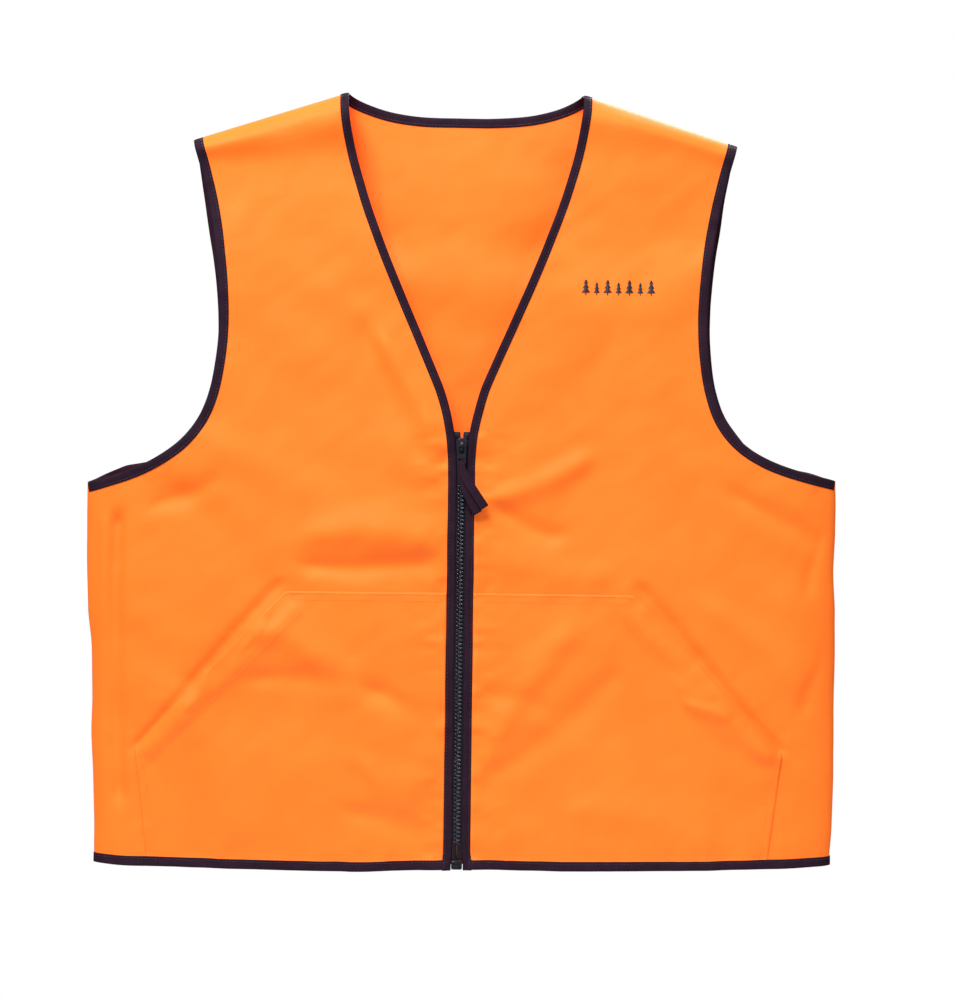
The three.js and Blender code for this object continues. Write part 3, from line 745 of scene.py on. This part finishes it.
def roughen_by(tree, shader, factor, share, least):
    rough = maths(tree, "ADD", maths(tree, "MULTIPLY", factor, share), least)
    tree.links.new(rough, shader.inputs["Roughness"])


def orange_cloth():
    made, tree, shader = material("orange_polyester")
    uv = uv_source(tree)
    warp = threads(tree, uv, 0.5, 0)
    weft = threads(tree, uv, 0.5, math.pi / 2)
    weave = maths(tree, "MULTIPLY", warp, weft)
    clouds = noise_node(tree, uv, 60, 3.0)
    crinkle = noise_node(tree, uv, 5.0, 4.0)
    tone = weighted(tree, clouds, 0.6, weave, 0.4)
    colour_by(tree, shader, tone, (0.25, (0.93, 0.172, 0.007)), (0.75, (0.98, 0.215, 0.015)))
    roughen_by(tree, shader, crinkle, 0.14, 0.62)
    normal = bump(tree, crinkle, 0.35, 0.35)
    normal = bump(tree, weave, 0.08, 0.5, normal)
    tree.links.new(normal, shader.inputs["Normal"])
    shader.inputs["Specular IOR Level"].default_value = 0.35
    shader.inputs["Sheen Weight"].default_value = 0.06
    shader.inputs["Sheen Roughness"].default_value = 0.45
    shader.inputs["Sheen Tint"].default_value = (1.0, 0.75, 0.5, 1)
    # Painted glow: the emission adds orange light everywhere, shade included, in place of the fluorescent
    # dye's extra orange.
    shader.inputs["Emission Color"].default_value = (1.0, 0.13, 0.014, 1)
    shader.inputs["Emission Strength"].default_value = 0.29
    return made


def orange_thread():
    made, tree, shader, twist = grained("orange_thread", 4.0, 1.0, "Generated")
    colour_by(tree, shader, twist, (0.3, (0.85, 0.17, 0.012)), (0.7, (0.98, 0.3, 0.04)))
    shader.inputs["Roughness"].default_value = 0.5
    # Painted glow: the emission adds orange light to the thread everywhere, shade included.
    shader.inputs["Emission Color"].default_value = (1.0, 0.06, 0.0, 1)
    shader.inputs["Emission Strength"].default_value = 0.25
    return made


def binding_cloth():
    made, tree, shader = material("plum_binding")
    uv = uv_source(tree)
    twill = threads(tree, uv, 0.7, math.pi / 4)
    cross = threads(tree, uv, 0.45, 0)
    weave = weighted(tree, twill, 0.7, cross, 0.3)
    clouds = noise_node(tree, uv, 14, 3.0)
    tone = weighted(tree, clouds, 0.65, weave, 0.35)
    colour_by(tree, shader, tone, (0.25, (0.013, 0.0045, 0.011)), (0.75, (0.030, 0.011, 0.026)))
    tree.links.new(bump(tree, weave, 0.12, 0.6), shader.inputs["Normal"])
    shader.inputs["Roughness"].default_value = 0.78
    shader.inputs["Specular IOR Level"].default_value = 0.12
    return made


def dark_thread():
    made, tree, shader, twist = grained("dark_thread", 1.2, 2.0)
    colour_by(tree, shader, twist, (0.3, (0.012, 0.008, 0.014)), (0.7, (0.035, 0.022, 0.036)))
    shader.inputs["Roughness"].default_value = 0.42
    return made


def moulded_plastic():
    made, tree, shader, grain = grained("black_moulded_plastic", 0.35, 3.0)
    colour_by(tree, shader, grain, (0.3, (0.004, 0.003, 0.006)), (0.7, (0.009, 0.008, 0.013)))
    roughen_by(tree, shader, grain, 0.16, 0.14)
    tree.links.new(bump(tree, grain, 0.03, 0.4), shader.inputs["Normal"])
    shader.inputs["Specular IOR Level"].default_value = 0.8
    shader.inputs["Specular Tint"].default_value = (0.75, 0.8, 1.0, 1)
    return made


def enamelled_metal():
    made, tree, shader, grain = grained("black_enamel", 0.6, 4.0)
    # Lighter along sharp outer edges, darkest on flat faces and in hollows.
    edge_sharpness = add(tree, "ShaderNodeNewGeometry").outputs["Pointiness"]
    edge_tone = maths(tree, "ADD", edge_sharpness, maths(tree, "MULTIPLY", grain, 0.08))
    colour_by(tree, shader, edge_tone, (0.54, (0.006, 0.006, 0.014)), (0.68, (0.03, 0.03, 0.055)))
    roughen_by(tree, shader, grain, 0.25, 0.25)
    tree.links.new(bump(tree, grain, 0.02, 0.3), shader.inputs["Normal"])
    shader.inputs["Specular IOR Level"].default_value = 0.35
    return made


def zip_tape():
    made, tree, shader = material("zip_tape")
    uv = uv_source(tree)
    herring = threads(tree, uv, 0.6, math.pi / 5)
    clouds = noise_node(tree, uv, 6, 2.0)
    tone = weighted(tree, clouds, 0.5, herring, 0.5)
    colour_by(tree, shader, tone, (0.3, (0.006, 0.004, 0.007)), (0.7, (0.014, 0.009, 0.015)))
    tree.links.new(bump(tree, herring, 0.12, 0.7), shader.inputs["Normal"])
    shader.inputs["Roughness"].default_value = 0.8
    return made


ORANGE = orange_cloth()
ORANGE_THREAD = orange_thread()
BINDING = binding_cloth()
DARK_THREAD = dark_thread()
PLASTIC = moulded_plastic()
METAL = enamelled_metal()
TAPE = zip_tape()


def dress(piece, finish):
    piece.data.materials.append(finish)
    return piece


# ---- Fronts: their placement is baked into the mesh ----


def bend(piece, hand):
    """Bakes the piece's placement into its mesh."""
    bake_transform(piece)
    return piece


# ---- Build ----

def build_back():
    cloth = dress(thicken(back_cloth(), CLOTH_THICKNESS), ORANGE)
    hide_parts("back_panel")
    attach(cloth, "back")
    neck_x = np.linspace(-NECK[0], NECK[0], 90)
    neck_line = np.column_stack([neck_x, back_neck_z(neck_x)])
    neck = joined("neck_binding", binding_run(neck_line, -1, BACK, 200))
    dress(neck, BINDING)
    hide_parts("neck_binding_back")
    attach(neck, "back")
    hem_line = np.array([(-SIDE_SEAM[-1][0][0] - 1, 0.0), (SIDE_SEAM[1][0][0] + 1, 0.0)])
    hem = joined("hem_binding_on_back", binding_run(hem_line, 1, BACK, 210))
    dress(hem, BINDING)
    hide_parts("hem_binding_back")
    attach(hem, "back")
    rows = two_stitch_rows(resample(neck_line, 2), -1, BACK)
    rows += two_stitch_rows(resample(hem_line, 4), 1, BACK)
    stitches = dress(joined("binding_stitches_back", *rows), DARK_THREAD)
    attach(stitches, "back")


def build_armhole(hand):
    side = HANDS[hand]
    runs, rows = [], []
    for face in (FRONT, BACK):
        edge = mirrored(armhole_edge(side, face), side)
        runs.append(binding_run(edge, side, face, 220 + side + face * 5))
        rows += two_stitch_rows(edge, side, face)
    binding = dress(joined(f"armhole_binding_cloth_{hand}", *runs), BINDING)
    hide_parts(f"armhole_binding_{hand}")
    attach(binding, "back")
    stitches = dress(joined(f"armhole_stitches_{hand}", *rows), DARK_THREAD)
    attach(stitches, "back")


def pocket_grid(side):
    """The pocket's pattern: bottom edge to the top edge and the slanted mouth."""
    top = resample(np.array([(POCKET_INNER_X, POCKET_TOP[1]), POCKET_TOP, POCKET_MOUTH]), 2.2)
    share = (arc_length(top) / arc_length(top)[-1])[None, :]
    bottom_x = POCKET_INNER_X + (POCKET_HEM_X - POCKET_INNER_X) * share
    up = np.linspace(0, 1, 110)[:, None]
    x = side * (bottom_x * (1 - up) + top[None, :, 0] * up)
    z = 3.0 * (1 - up) + top[None, :, 1] * up
    return (x[:, ::-1], z[:, ::-1]) if side < 0 else (x, z)


def pocket_lift(x, z):
    """The pocket lies on the front and gapes a little along its mouth."""
    across = np.abs(x)
    run = np.array(POCKET_MOUTH) - np.array(POCKET_TOP)
    length = np.linalg.norm(run)
    along = ((across - POCKET_TOP[0]) * run[0] + (z - POCKET_TOP[1]) * run[1]) / length
    off = np.abs((across - POCKET_TOP[0]) * run[1] - (z - POCKET_TOP[1]) * run[0]) / length
    middle = np.sin(np.clip(along / length, 0, 1) * math.pi)
    gape = POCKET_GAPE * middle * np.exp(-off / GAPE_REACH)
    edge = np.minimum(np.abs(across - POCKET_INNER_X), np.maximum(z, 0))
    edge = np.minimum(edge, np.abs(POCKET_TOP[1] - z) + np.maximum(across - POCKET_TOP[0], 0))
    flank_x = POCKET_HEM_X + (POCKET_MOUTH[0] - POCKET_HEM_X) * z / POCKET_MOUTH[1]
    edge = np.minimum(edge, np.maximum(flank_x - across, 0))
    puff = POCKET_PUFF * smooth(edge / 40) * (0.7 + 0.5 * noise(x, z, 60, 91))
    beside = smooth((across - POCKET_TOP[0] + 14) / 4)
    facing = FACING_STEP * smooth((POCKET_FACING - off) / 2.5) * beside
    return 0.5 + (0.2 + gape + puff + facing) * smooth((z - 7) / 18)


def build_pocket(hand):
    side = HANDS[hand]
    x, z = pocket_grid(side)
    cloth = cloth_object(f"pocket_cloth_{hand}", x, z, FRONT, pocket_lift(x, z))
    dress(thicken(cloth, CLOTH_THICKNESS), ORANGE)
    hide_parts(f"pocket_{hand}")
    bend(cloth, hand)
    corner = np.array(POCKET_TOP)
    mouth = np.array(POCKET_MOUTH)
    inner_top = np.array((POCKET_INNER_X + 3, POCKET_TOP[1]))
    foot = np.array((POCKET_HEM_X, 9.0))
    mouth_normal = np.array([mouth[1] - corner[1], corner[0] - mouth[0]]) / np.linalg.norm(mouth - corner)
    flank_normal = np.array([foot[1] - mouth[1], mouth[0] - foot[0]]) / np.linalg.norm(mouth - foot)
    lines = [
        (inner_top - (0, 1.6), corner - (2, 1.6)),
        (inner_top - (0, 7.4), corner - (4, 7.4)),
        (corner + mouth_normal * POCKET_FACING - (6, 0), mouth + mouth_normal * POCKET_FACING),
        (corner + mouth_normal * 1.8, corner + mouth_normal * POCKET_FACING - (3, 0)),
        (mouth + flank_normal * 1.6, foot + flank_normal * 1.6),
        (mouth + flank_normal * 7.2, foot + flank_normal * 7.2),
    ]
    rows = []
    for start, end in lines:
        line = mirrored(resample(np.array([start, end]), 3.0), side)
        rows.append(stitch_run(line, FRONT, 0.34, radius=0.26, surface=pocket_lift))
    stitches = dress(joined(f"pocket_stitches_{hand}", *rows), ORANGE_THREAD)
    bend(stitches, hand)


def build_front(hand):
    side = HANDS[hand]
    cloth = dress(thicken(front_cloth(hand), CLOTH_THICKNESS), ORANGE)
    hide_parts(f"front_{hand}_panel", f"front_{hand}_side")
    bend(cloth, hand)
    edge = mirrored(front_edge(), side)
    run = binding_run(edge, -side, FRONT, 240 + side, FRONT_BINDING_WIDTH)
    binding = joined(f"front_binding_cloth_{hand}", run)
    dress(binding, BINDING)
    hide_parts(f"front_edge_binding_{hand}")
    bend(binding, hand)
    hem_line = np.array([(side * ZIP_HEM_EDGE_X, 0.0), (side * (SIDE_SEAM[side][0][0] + 1), 0.0)])
    hem = joined(f"hem_binding_cloth_{hand}", binding_run(hem_line, side, FRONT, 250 + side))
    dress(hem, BINDING)
    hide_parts(f"hem_binding_front_{hand}")
    bend(hem, hand)
    inset = STITCH_INSET * FRONT_BINDING_WIDTH / BINDING_WIDTH
    rows = two_stitch_rows(edge, -side, FRONT, inset) + two_stitch_rows(resample(hem_line, 4), side, FRONT)
    stitches = dress(joined(f"binding_stitches_{hand}", *rows), DARK_THREAD)
    bend(stitches, hand)


def spread(z):
    """How far the chain has parted on each side, above the slider's throat."""
    edge = front_edge()
    return 0.5 * np.maximum(np.interp(z, edge[:, 1], edge[:, 0]) - ZIP_EDGE_X, 0) * (z > 300)


# Along a tooth from its root to its tip: x, half width, half height.
TOOTH_STATIONS = (
    (-3.25, 0.85, 0.7), (-3.1, 1.12, 1.15), (-2.4, 1.18, 1.45), (-1.65, 1.05, 1.55), (-1.1, 0.66, 1.52),
    (-0.4, 0.6, 1.45), (0.2, 0.8, 1.42), (0.8, 0.86, 1.32), (1.25, 0.66, 1.1), (1.45, 0.3, 0.7),
)
TOOTH_SIDES = 12


def tooth_mesh():
    angle = np.linspace(0, 2 * math.pi, TOOTH_SIDES, endpoint=False) + math.pi / TOOTH_SIDES
    corner = 0.62
    across = np.sign(np.cos(angle)) * np.abs(np.cos(angle)) ** corner
    out = np.sign(np.sin(angle)) * np.abs(np.sin(angle)) ** corner
    points = [[(x, out[k] * height, across[k] * width) for k in range(TOOTH_SIDES)]
              for x, width, height in TOOTH_STATIONS]
    rows = len(TOOTH_STATIONS)
    faces = grid_faces(rows, TOOTH_SIDES, closed_columns=True)
    faces.append(tuple(reversed(range(TOOTH_SIDES))))
    faces.append(tuple(range((rows - 1) * TOOTH_SIDES, rows * TOOTH_SIDES)))
    return np.array(points).reshape(-1, 3), faces


def teeth(hand):
    side = HANDS[hand]
    tooth, tooth_faces = tooth_mesh()
    stagger = TOOTH_PITCH / 2 if side > 0 else 0
    heights = np.arange(TEETH_FOOT_Z + stagger, TEETH_TOP_Z, TOOTH_PITCH)
    vertices, faces = [], []
    for count, z in enumerate(heights):
        shift = spread(z)
        x = -side * (tooth[:, 0] - shift)
        moved = np.column_stack([x, CHAIN_Y + tooth[:, 1], z + tooth[:, 2]]) * MM
        moved[:, 2] += HEM_HEIGHT
        vertices.append(moved)
        base = count * len(tooth)
        faces += [tuple(base + i for i in (f if side < 0 else f[::-1])) for f in tooth_faces]
    piece = mesh_object(f"moulded_teeth_{hand}", np.vstack(vertices), faces)
    return dress(piece, PLASTIC)


# Across a tape from the cord inside the teeth to the outer edge: x, lift.
TAPE_PROFILE = (
    (0.06, -0.9), (2.0, -0.8), (3.3, -0.6), (4.0, -0.8), (4.8, -1.45), (6.0, -1.75), (9.0, -1.8),
    (14.8, -1.8),
)


def tape(hand):
    side = HANDS[hand]
    z = np.arange(8.4, TAPE_TOP_Z + 0.1, 2.0)
    profile = np.array(TAPE_PROFILE)
    x = side * (profile[None, :, 0] + spread(z)[:, None])
    lift = np.broadcast_to(profile[None, :, 1], x.shape)
    z = np.broadcast_to(z[:, None], x.shape)
    if side < 0:
        x, z, lift = x[:, ::-1], z[:, ::-1], lift[:, ::-1]
    piece = thicken(cloth_object(f"zip_tape_{hand}", x, z, FRONT, lift), 0.5)
    return dress(piece, TAPE)


def flat_part(name, loops, y_front, y_back, rounding):
    """A plate in the x-z plane with rounded edges: its outer loop, then its openings."""
    curve = bpy.data.curves.new(name, "CURVE")
    curve.dimensions = "2D"
    curve.fill_mode = "BOTH"
    for loop in loops:
        spline = curve.splines.new("POLY")
        spline.points.add(len(loop) - 1)
        for point, (x, z) in zip(spline.points, loop):
            point.co = (x * MM, z * MM, 0, 1)
        spline.use_cyclic_u = True
    curve.extrude = ((y_back - y_front) / 2 - rounding) * MM
    curve.bevel_depth = rounding * MM
    curve.bevel_resolution = 2
    curve.offset = -rounding * MM
    holder = bpy.data.objects.new(name, curve)
    bpy.context.collection.objects.link(holder)
    mesh = bpy.data.meshes.new_from_object(holder)
    bpy.data.objects.remove(holder)
    middle = Matrix.Translation((0, (y_front + y_back) / 2 * MM, HEM_HEIGHT))
    mesh.transform(middle @ Matrix.Rotation(math.pi / 2, 4, "X"))
    return mesh


def rounded(corners, radius, steps=5):
    """A loop through corner points, with each corner turned by a small curve."""
    loop = []
    count = len(corners)
    for k in range(count):
        before, here, after = (np.array(corners[i % count], float) for i in (k - 1, k, k + 1))
        reach = min(radius, np.linalg.norm(before - here) / 2, np.linalg.norm(after - here) / 2)
        first = here + (before - here) / np.linalg.norm(before - here) * reach
        last = here + (after - here) / np.linalg.norm(after - here) * reach
        loop += [tuple(p) for p in bezier([first, here, last], steps)]
    return loop


def merged(name, meshes, finish):
    collected = bmesh.new()
    for mesh in meshes:
        collected.from_mesh(mesh)
        bpy.data.meshes.remove(mesh)
    bmesh.ops.remove_doubles(collected, verts=collected.verts, dist=1e-6)
    mesh = bpy.data.meshes.new(name)
    collected.to_mesh(mesh)
    collected.free()
    for polygon in mesh.polygons:
        polygon.use_smooth = True
    piece = bpy.data.objects.new(name, mesh)
    bpy.context.collection.objects.link(piece)
    split = piece.modifiers.new("edges", "EDGE_SPLIT")
    split.split_angle = math.radians(35)
    return dress(piece, finish)


def shifted(loop, x, z):
    return [(px + x, pz + z) for px, pz in loop]


def bar_along(path, width, thickness):
    """A flat bar swept along a path of (y, z) points, centred on x = 0."""
    path = np.array(path, float)
    normal = inwards(path, 1)
    vertices = []
    for (y, z), (ny, nz) in zip(path, normal):
        for dx, dn in ((-1, -1), (1, -1), (1, 1), (-1, 1)):
            vertices.append((dx * width / 2, y + ny * dn * thickness / 2, z + nz * dn * thickness / 2))
    mesh = bpy.data.meshes.new("bar")
    faces = grid_faces(len(path), 4, closed_columns=True)
    faces += [(0, 1, 2, 3), tuple(4 * len(path) - k for k in (1, 2, 3, 4))]
    points = np.array(vertices) * MM
    points[:, 2] += HEM_HEIGHT
    mesh.from_pydata([tuple(p) for p in points], [], faces)
    return mesh


def build_slider():
    shield = rounded([(-3.8, -7), (3.8, -7), (4.0, -1.5), (4.7, 2.6), (4.3, 5.8), (0, 7.8), (-4.3, 5.8),
                      (-4.7, 2.6), (-4.0, -1.5)], 2.2)
    front = shifted(shield, 0, SLIDER_Z)
    parts = [
        flat_part("front_plate", [front], SLIDER_FACE_Y, SLIDER_FACE_Y + PLATE_THICKNESS, PLATE_ROUNDING),
        flat_part("back_plate", [front], SLIDER_BACK_Y - PLATE_THICKNESS, SLIDER_BACK_Y, PLATE_ROUNDING),
    ]
    for side in (-1, 1):
        wall = rounded([(side * 3.7, -6.6), (side * 4.25, -6.6), (side * 4.4, -1), (side * 3.9, -1)], 0.2)
        parts.append(flat_part("wall", [shifted(wall, 0, SLIDER_Z)], SLIDER_FACE_Y + 0.8, -18.3, 0.08))
    arch = bezier([(SLIDER_FACE_Y + 0.5, SLIDER_Z - 4.4), (SLIDER_FACE_Y - 4.9, SLIDER_Z - 4.8),
                   (SLIDER_FACE_Y - 4.4, SLIDER_Z + 5.2), (SLIDER_FACE_Y + 0.5, SLIDER_Z + 4.2)], 18)
    parts.append(bar_along(arch, 2.4, 0.9))
    slider = merged("zip_slider", parts, METAL)
    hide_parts("zipper_slider_body")
    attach(slider, "slider")


def build_puller():
    tab = rounded([(-4, -15.5), (4, -15.5), (4, -9), (3.4, 0.8), (-3.4, 0.8), (-4, -9)], 1.2)
    eye = rounded([(-2, -7.2), (-2, -0.7), (2, -0.7), (2, -7.2)], 0.7)
    slot = rounded([(-3, -14.4), (-3, -11), (3, -11), (3, -14.4)], 0.5)
    loops = [shifted(loop, 0, SLIDER_Z) for loop in (tab, eye, slot)]
    puller = merged("zip_puller", [flat_part("tab", loops, PULLER_Y - 0.6, PULLER_Y + 0.6, 0.25)],
                    METAL)
    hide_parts("zipper_puller")
    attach(puller, "puller")


RIBBON_SECTION = ((-1.0, 0.0), (-0.93, 0.5), (-0.6, 0.5), (0.0, 0.42), (0.6, 0.5), (0.93, 0.5),
                  (1.0, 0.0), (0.93, -0.5), (0.6, -0.5), (0.0, -0.42), (-0.6, -0.5), (-0.93, -0.5))


def ribbon_tail(controls, half_widths, thickness):
    """A strip along a curve of (x, y, z) points, as wide as `half_widths` says along it."""
    path = bezier(controls, 40)
    share = np.linspace(0, 1, len(path))
    half = np.interp(share, np.linspace(0, 1, len(half_widths)), half_widths)
    along = np.gradient(path, axis=0)
    along /= np.linalg.norm(along, axis=1)[:, None]
    across = np.cross((0, 1, 0), along)
    flat = np.linalg.norm(across, axis=1)
    across = np.where(flat[:, None] > 0.2, across / np.maximum(flat, 1e-6)[:, None], (1, 0, 0))
    out = np.cross(across, along)
    section = np.array(RIBBON_SECTION)
    points = (path[:, None] + across[:, None] * (section[None, :, :1] * half[:, None, None])
              + out[:, None] * section[None, :, 1:] * thickness)
    points = points * MM
    points[..., 2] += HEM_HEIGHT
    rows, columns = points.shape[:2]
    faces = grid_faces(rows, columns, closed_columns=True)
    faces += [tuple(reversed(range(columns))), tuple(range((rows - 1) * columns, rows * columns))]
    length = arc_length(path)
    uvs = np.stack(np.broadcast_arrays(section[None, :, 0] * 4, length[:, None]), axis=-1)
    return points.reshape(-1, 3), faces, uvs.reshape(-1, 2) * MM


def build_ribbon():
    z = SLIDER_Z + RUNG_Z
    loop = [(0, PULLER_Y + 1.4, z), (0, PULLER_Y + 1.5, z + 2.6), (0, PULLER_Y - 1.5, z + 2.6),
            (0, PULLER_Y - 1.4, z)]
    wrap = ribbon_tail(loop, (2.7, 2.7), 0.7)
    front = ribbon_tail(
        [(0, PULLER_Y - 1.4, z + 0.2), (0.4, PULLER_Y - 2.2, z - 9), (4.5, PULLER_Y - 3.9, z - 16),
         (12.5, PULLER_Y - 4.4, z - 26), (20.8, PULLER_Y - 3.8, z - 39)],
        (2.7, 4.0, 4.1, 4.0), 0.75,
    )
    rear = ribbon_tail(
        [(0, PULLER_Y + 1.4, z + 0.2), (-0.2, PULLER_Y - 1.0, z - 10), (1.5, PULLER_Y - 2.7, z - 22),
         (8, PULLER_Y - 2.9, z - 32), (14.8, PULLER_Y - 1.9, z - 44)],
        (2.7, 3.8, 4.1, 4.0), 0.75,
    )
    ribbon = joined("pull_ribbon", wrap, front, rear)
    dress(ribbon, BINDING)
    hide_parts("zipper_pull_ribbon")
    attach(ribbon, "ribbon")


def build_zip():
    for hand, side in HANDS.items():
        chain_side = teeth(hand)
        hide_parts(f"zipper_teeth_{hand}")
        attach(chain_side, f"front_{hand}")
        strip = tape(hand)
        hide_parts(f"zipper_tape_{hand}")
        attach(strip, f"front_{hand}")
        middle = STOP_X + float(spread(np.array(STOP_SPREAD_Z)))
        stop = rounded([(middle - 1.2, STOP_FOOT_Z), (middle + 1.2, STOP_FOOT_Z),
                        (middle + 1.1, STOP_TOP_Z), (middle - 1.1, STOP_TOP_Z)], 0.6)
        cap = merged(f"top_stop_{hand}", [flat_part("stop", [mirrored(np.array(stop), side)],
                     CHAIN_Y - 1.2, CHAIN_Y + 1.2, 0.3)], PLASTIC)
        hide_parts(f"zipper_top_stop_{hand}")
        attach(cap, f"front_{hand}")
        shape = rounded([(side * 1.05, PIN_FOOT_Z), (side * 2.95, PIN_FOOT_Z),
                         (side * 2.95, PIN_TOP_Z), (side * 1.05, PIN_TOP_Z)], 0.7)
        pin = merged(f"pin_{hand}", [flat_part("pin", [shape], CHAIN_Y - 1.0, CHAIN_Y + 1.0, 0.4)],
                     PLASTIC)
        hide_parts("zipper_insertion_pin" if hand == "right" else "zipper_box_pin")
        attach(pin, f"front_{hand}")
    box = rounded([(-4.8, 0), (4.8, 0), (4.9, 8), (-4.9, 8)], 1.6)
    window = rounded([(-2.6, 2.6), (2.6, 2.6), (2.6, 6.4), (-2.6, 6.4)], 0.6)
    parts = [flat_part("box", [box], CHAIN_Y - 2.6, CHAIN_Y + 2.6, 0.5),
             flat_part("raised", [window], CHAIN_Y - 2.9, CHAIN_Y - 2.4, 0.15)]
    retainer = merged("retainer_box", parts, PLASTIC)
    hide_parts("zipper_retainer_box")
    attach(retainer, "front_left")


TREE_PITCH = 9.6
TREE_ROW_X = 136.4
TREE_ROW_Z = 508.3
TREE_HEIGHT = 13.5
TREE_COUNT = 7


def tree_half_width(up):
    """Half width of a fir tree at a height from 0 to 1: a trunk, then three tiers of boughs."""
    if up < 0.16:
        return 0.55
    tier = (up - 0.16) / 0.84 * 3
    return (3.9 - 0.95 * math.floor(tier)) * (1 - 0.72 * (tier % 1)) + 0.15


def build_embroidery():
    rows = []
    for index in range(TREE_COUNT):
        centre = TREE_ROW_X + (index - (TREE_COUNT - 1) / 2) * TREE_PITCH
        scale = 1.0 if index % 2 == 0 else 0.82
        levels = np.arange(0.0, 1.0, 0.44 / (TREE_HEIGHT * scale))
        half = np.array([tree_half_width(up) * scale for up in levels])
        heights = TREE_ROW_Z + levels * TREE_HEIGHT * scale
        starts = np.column_stack([centre - half, heights - 0.12])
        ends = np.column_stack([centre + half, heights + 0.12])
        rows.append(thread_segments(starts, ends, FRONT, 0.42, 0.27))
    trees = dress(joined("embroidered_trees", *rows), DARK_THREAD)
    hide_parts("chest_embroidery")
    bend(trees, "left")


build_back()
for hand in HANDS:
    build_front(hand)
    build_armhole(hand)
    build_pocket(hand)
build_zip()
build_slider()
build_puller()
build_ribbon()
build_embroidery()


# ---- Studio ----

FLOOR_HEIGHT = HEM_HEIGHT - 0.25
FLOOR_RADIUS = 0.6
AMBIENT = 0.22
# Name, place, width and power of each soft light.
LIGHTS = (
    ("key", (-0.7, -1.5, 1.8), 1.0, 105),
    ("fill", (1.6, -1.8, 0.2), 1.6, 8),
    ("behind", (0.8, 1.7, 1.5), 1.4, 80),
)
LENS = 85
SENSOR_WIDTH = 36
FRAME_HEIGHT = 0.886
CAMERA_LEAN = math.radians(-0.73)
CAMERA_X = 0.014
CAMERA_SETBACK = 0.009
CAMERA_RISE = 0.3263


def build_floor():
    centre = (0, 0, FLOOR_HEIGHT)
    bpy.ops.mesh.primitive_circle_add(vertices=96, radius=FLOOR_RADIUS, fill_type="NGON", location=centre)
    floor = bpy.context.object
    floor.name = "studio_floor"
    made, _, shader = material("white_floor")
    shader.inputs["Base Color"].default_value = (0.82, 0.82, 0.82, 1)
    shader.inputs["Roughness"].default_value = 0.9
    floor.data.materials.append(made)


def area_light(name, location, target, size, power):
    lamp = bpy.data.lights.new(name, "AREA")
    lamp.energy = power
    lamp.size = size
    holder = bpy.data.objects.new(name, lamp)
    bpy.context.collection.objects.link(holder)
    holder.location = location
    holder.rotation_euler = (Vector(target) - Vector(location)).to_track_quat("-Z", "Y").to_euler()


def build_lights():
    world = bpy.data.worlds.new("white_studio")
    bpy.context.scene.world = world
    world.use_nodes = True
    tree = world.node_tree
    background = tree.nodes["Background"]
    background.inputs["Color"].default_value = (1, 1, 1, 1)
    seen = add(tree, "ShaderNodeLightPath").outputs["Is Camera Ray"]
    strength = maths(tree, "ADD", maths(tree, "MULTIPLY", seen, 1 - AMBIENT), AMBIENT)
    tree.links.new(strength, background.inputs["Strength"])
    middle = (0, 0, HEM_HEIGHT / 2)
    for name, location, size, power in LIGHTS:
        area_light(name, location, middle, size, power)


def build_camera():
    """Straight-on view, tipped so that the vest leans clockwise by a hair, as it was hung."""
    data = bpy.data.cameras.new("camera")
    data.lens = LENS
    data.sensor_width = SENSOR_WIDTH
    camera = bpy.data.objects.new("camera", data)
    bpy.context.collection.objects.link(camera)
    bpy.context.scene.camera = camera
    distance = FRAME_HEIGHT * data.lens / data.sensor_width
    roll = Matrix.Rotation(CAMERA_LEAN, 4, "Y")
    upright = Matrix.Rotation(math.pi / 2, 4, "X")
    spot = Matrix.Translation((CAMERA_X, -distance - CAMERA_SETBACK, HEM_HEIGHT + CAMERA_RISE))
    camera.matrix_world = spot @ roll @ upright


build_floor()
build_lights()
build_camera()
bpy.context.scene.view_settings.view_transform = "Standard"
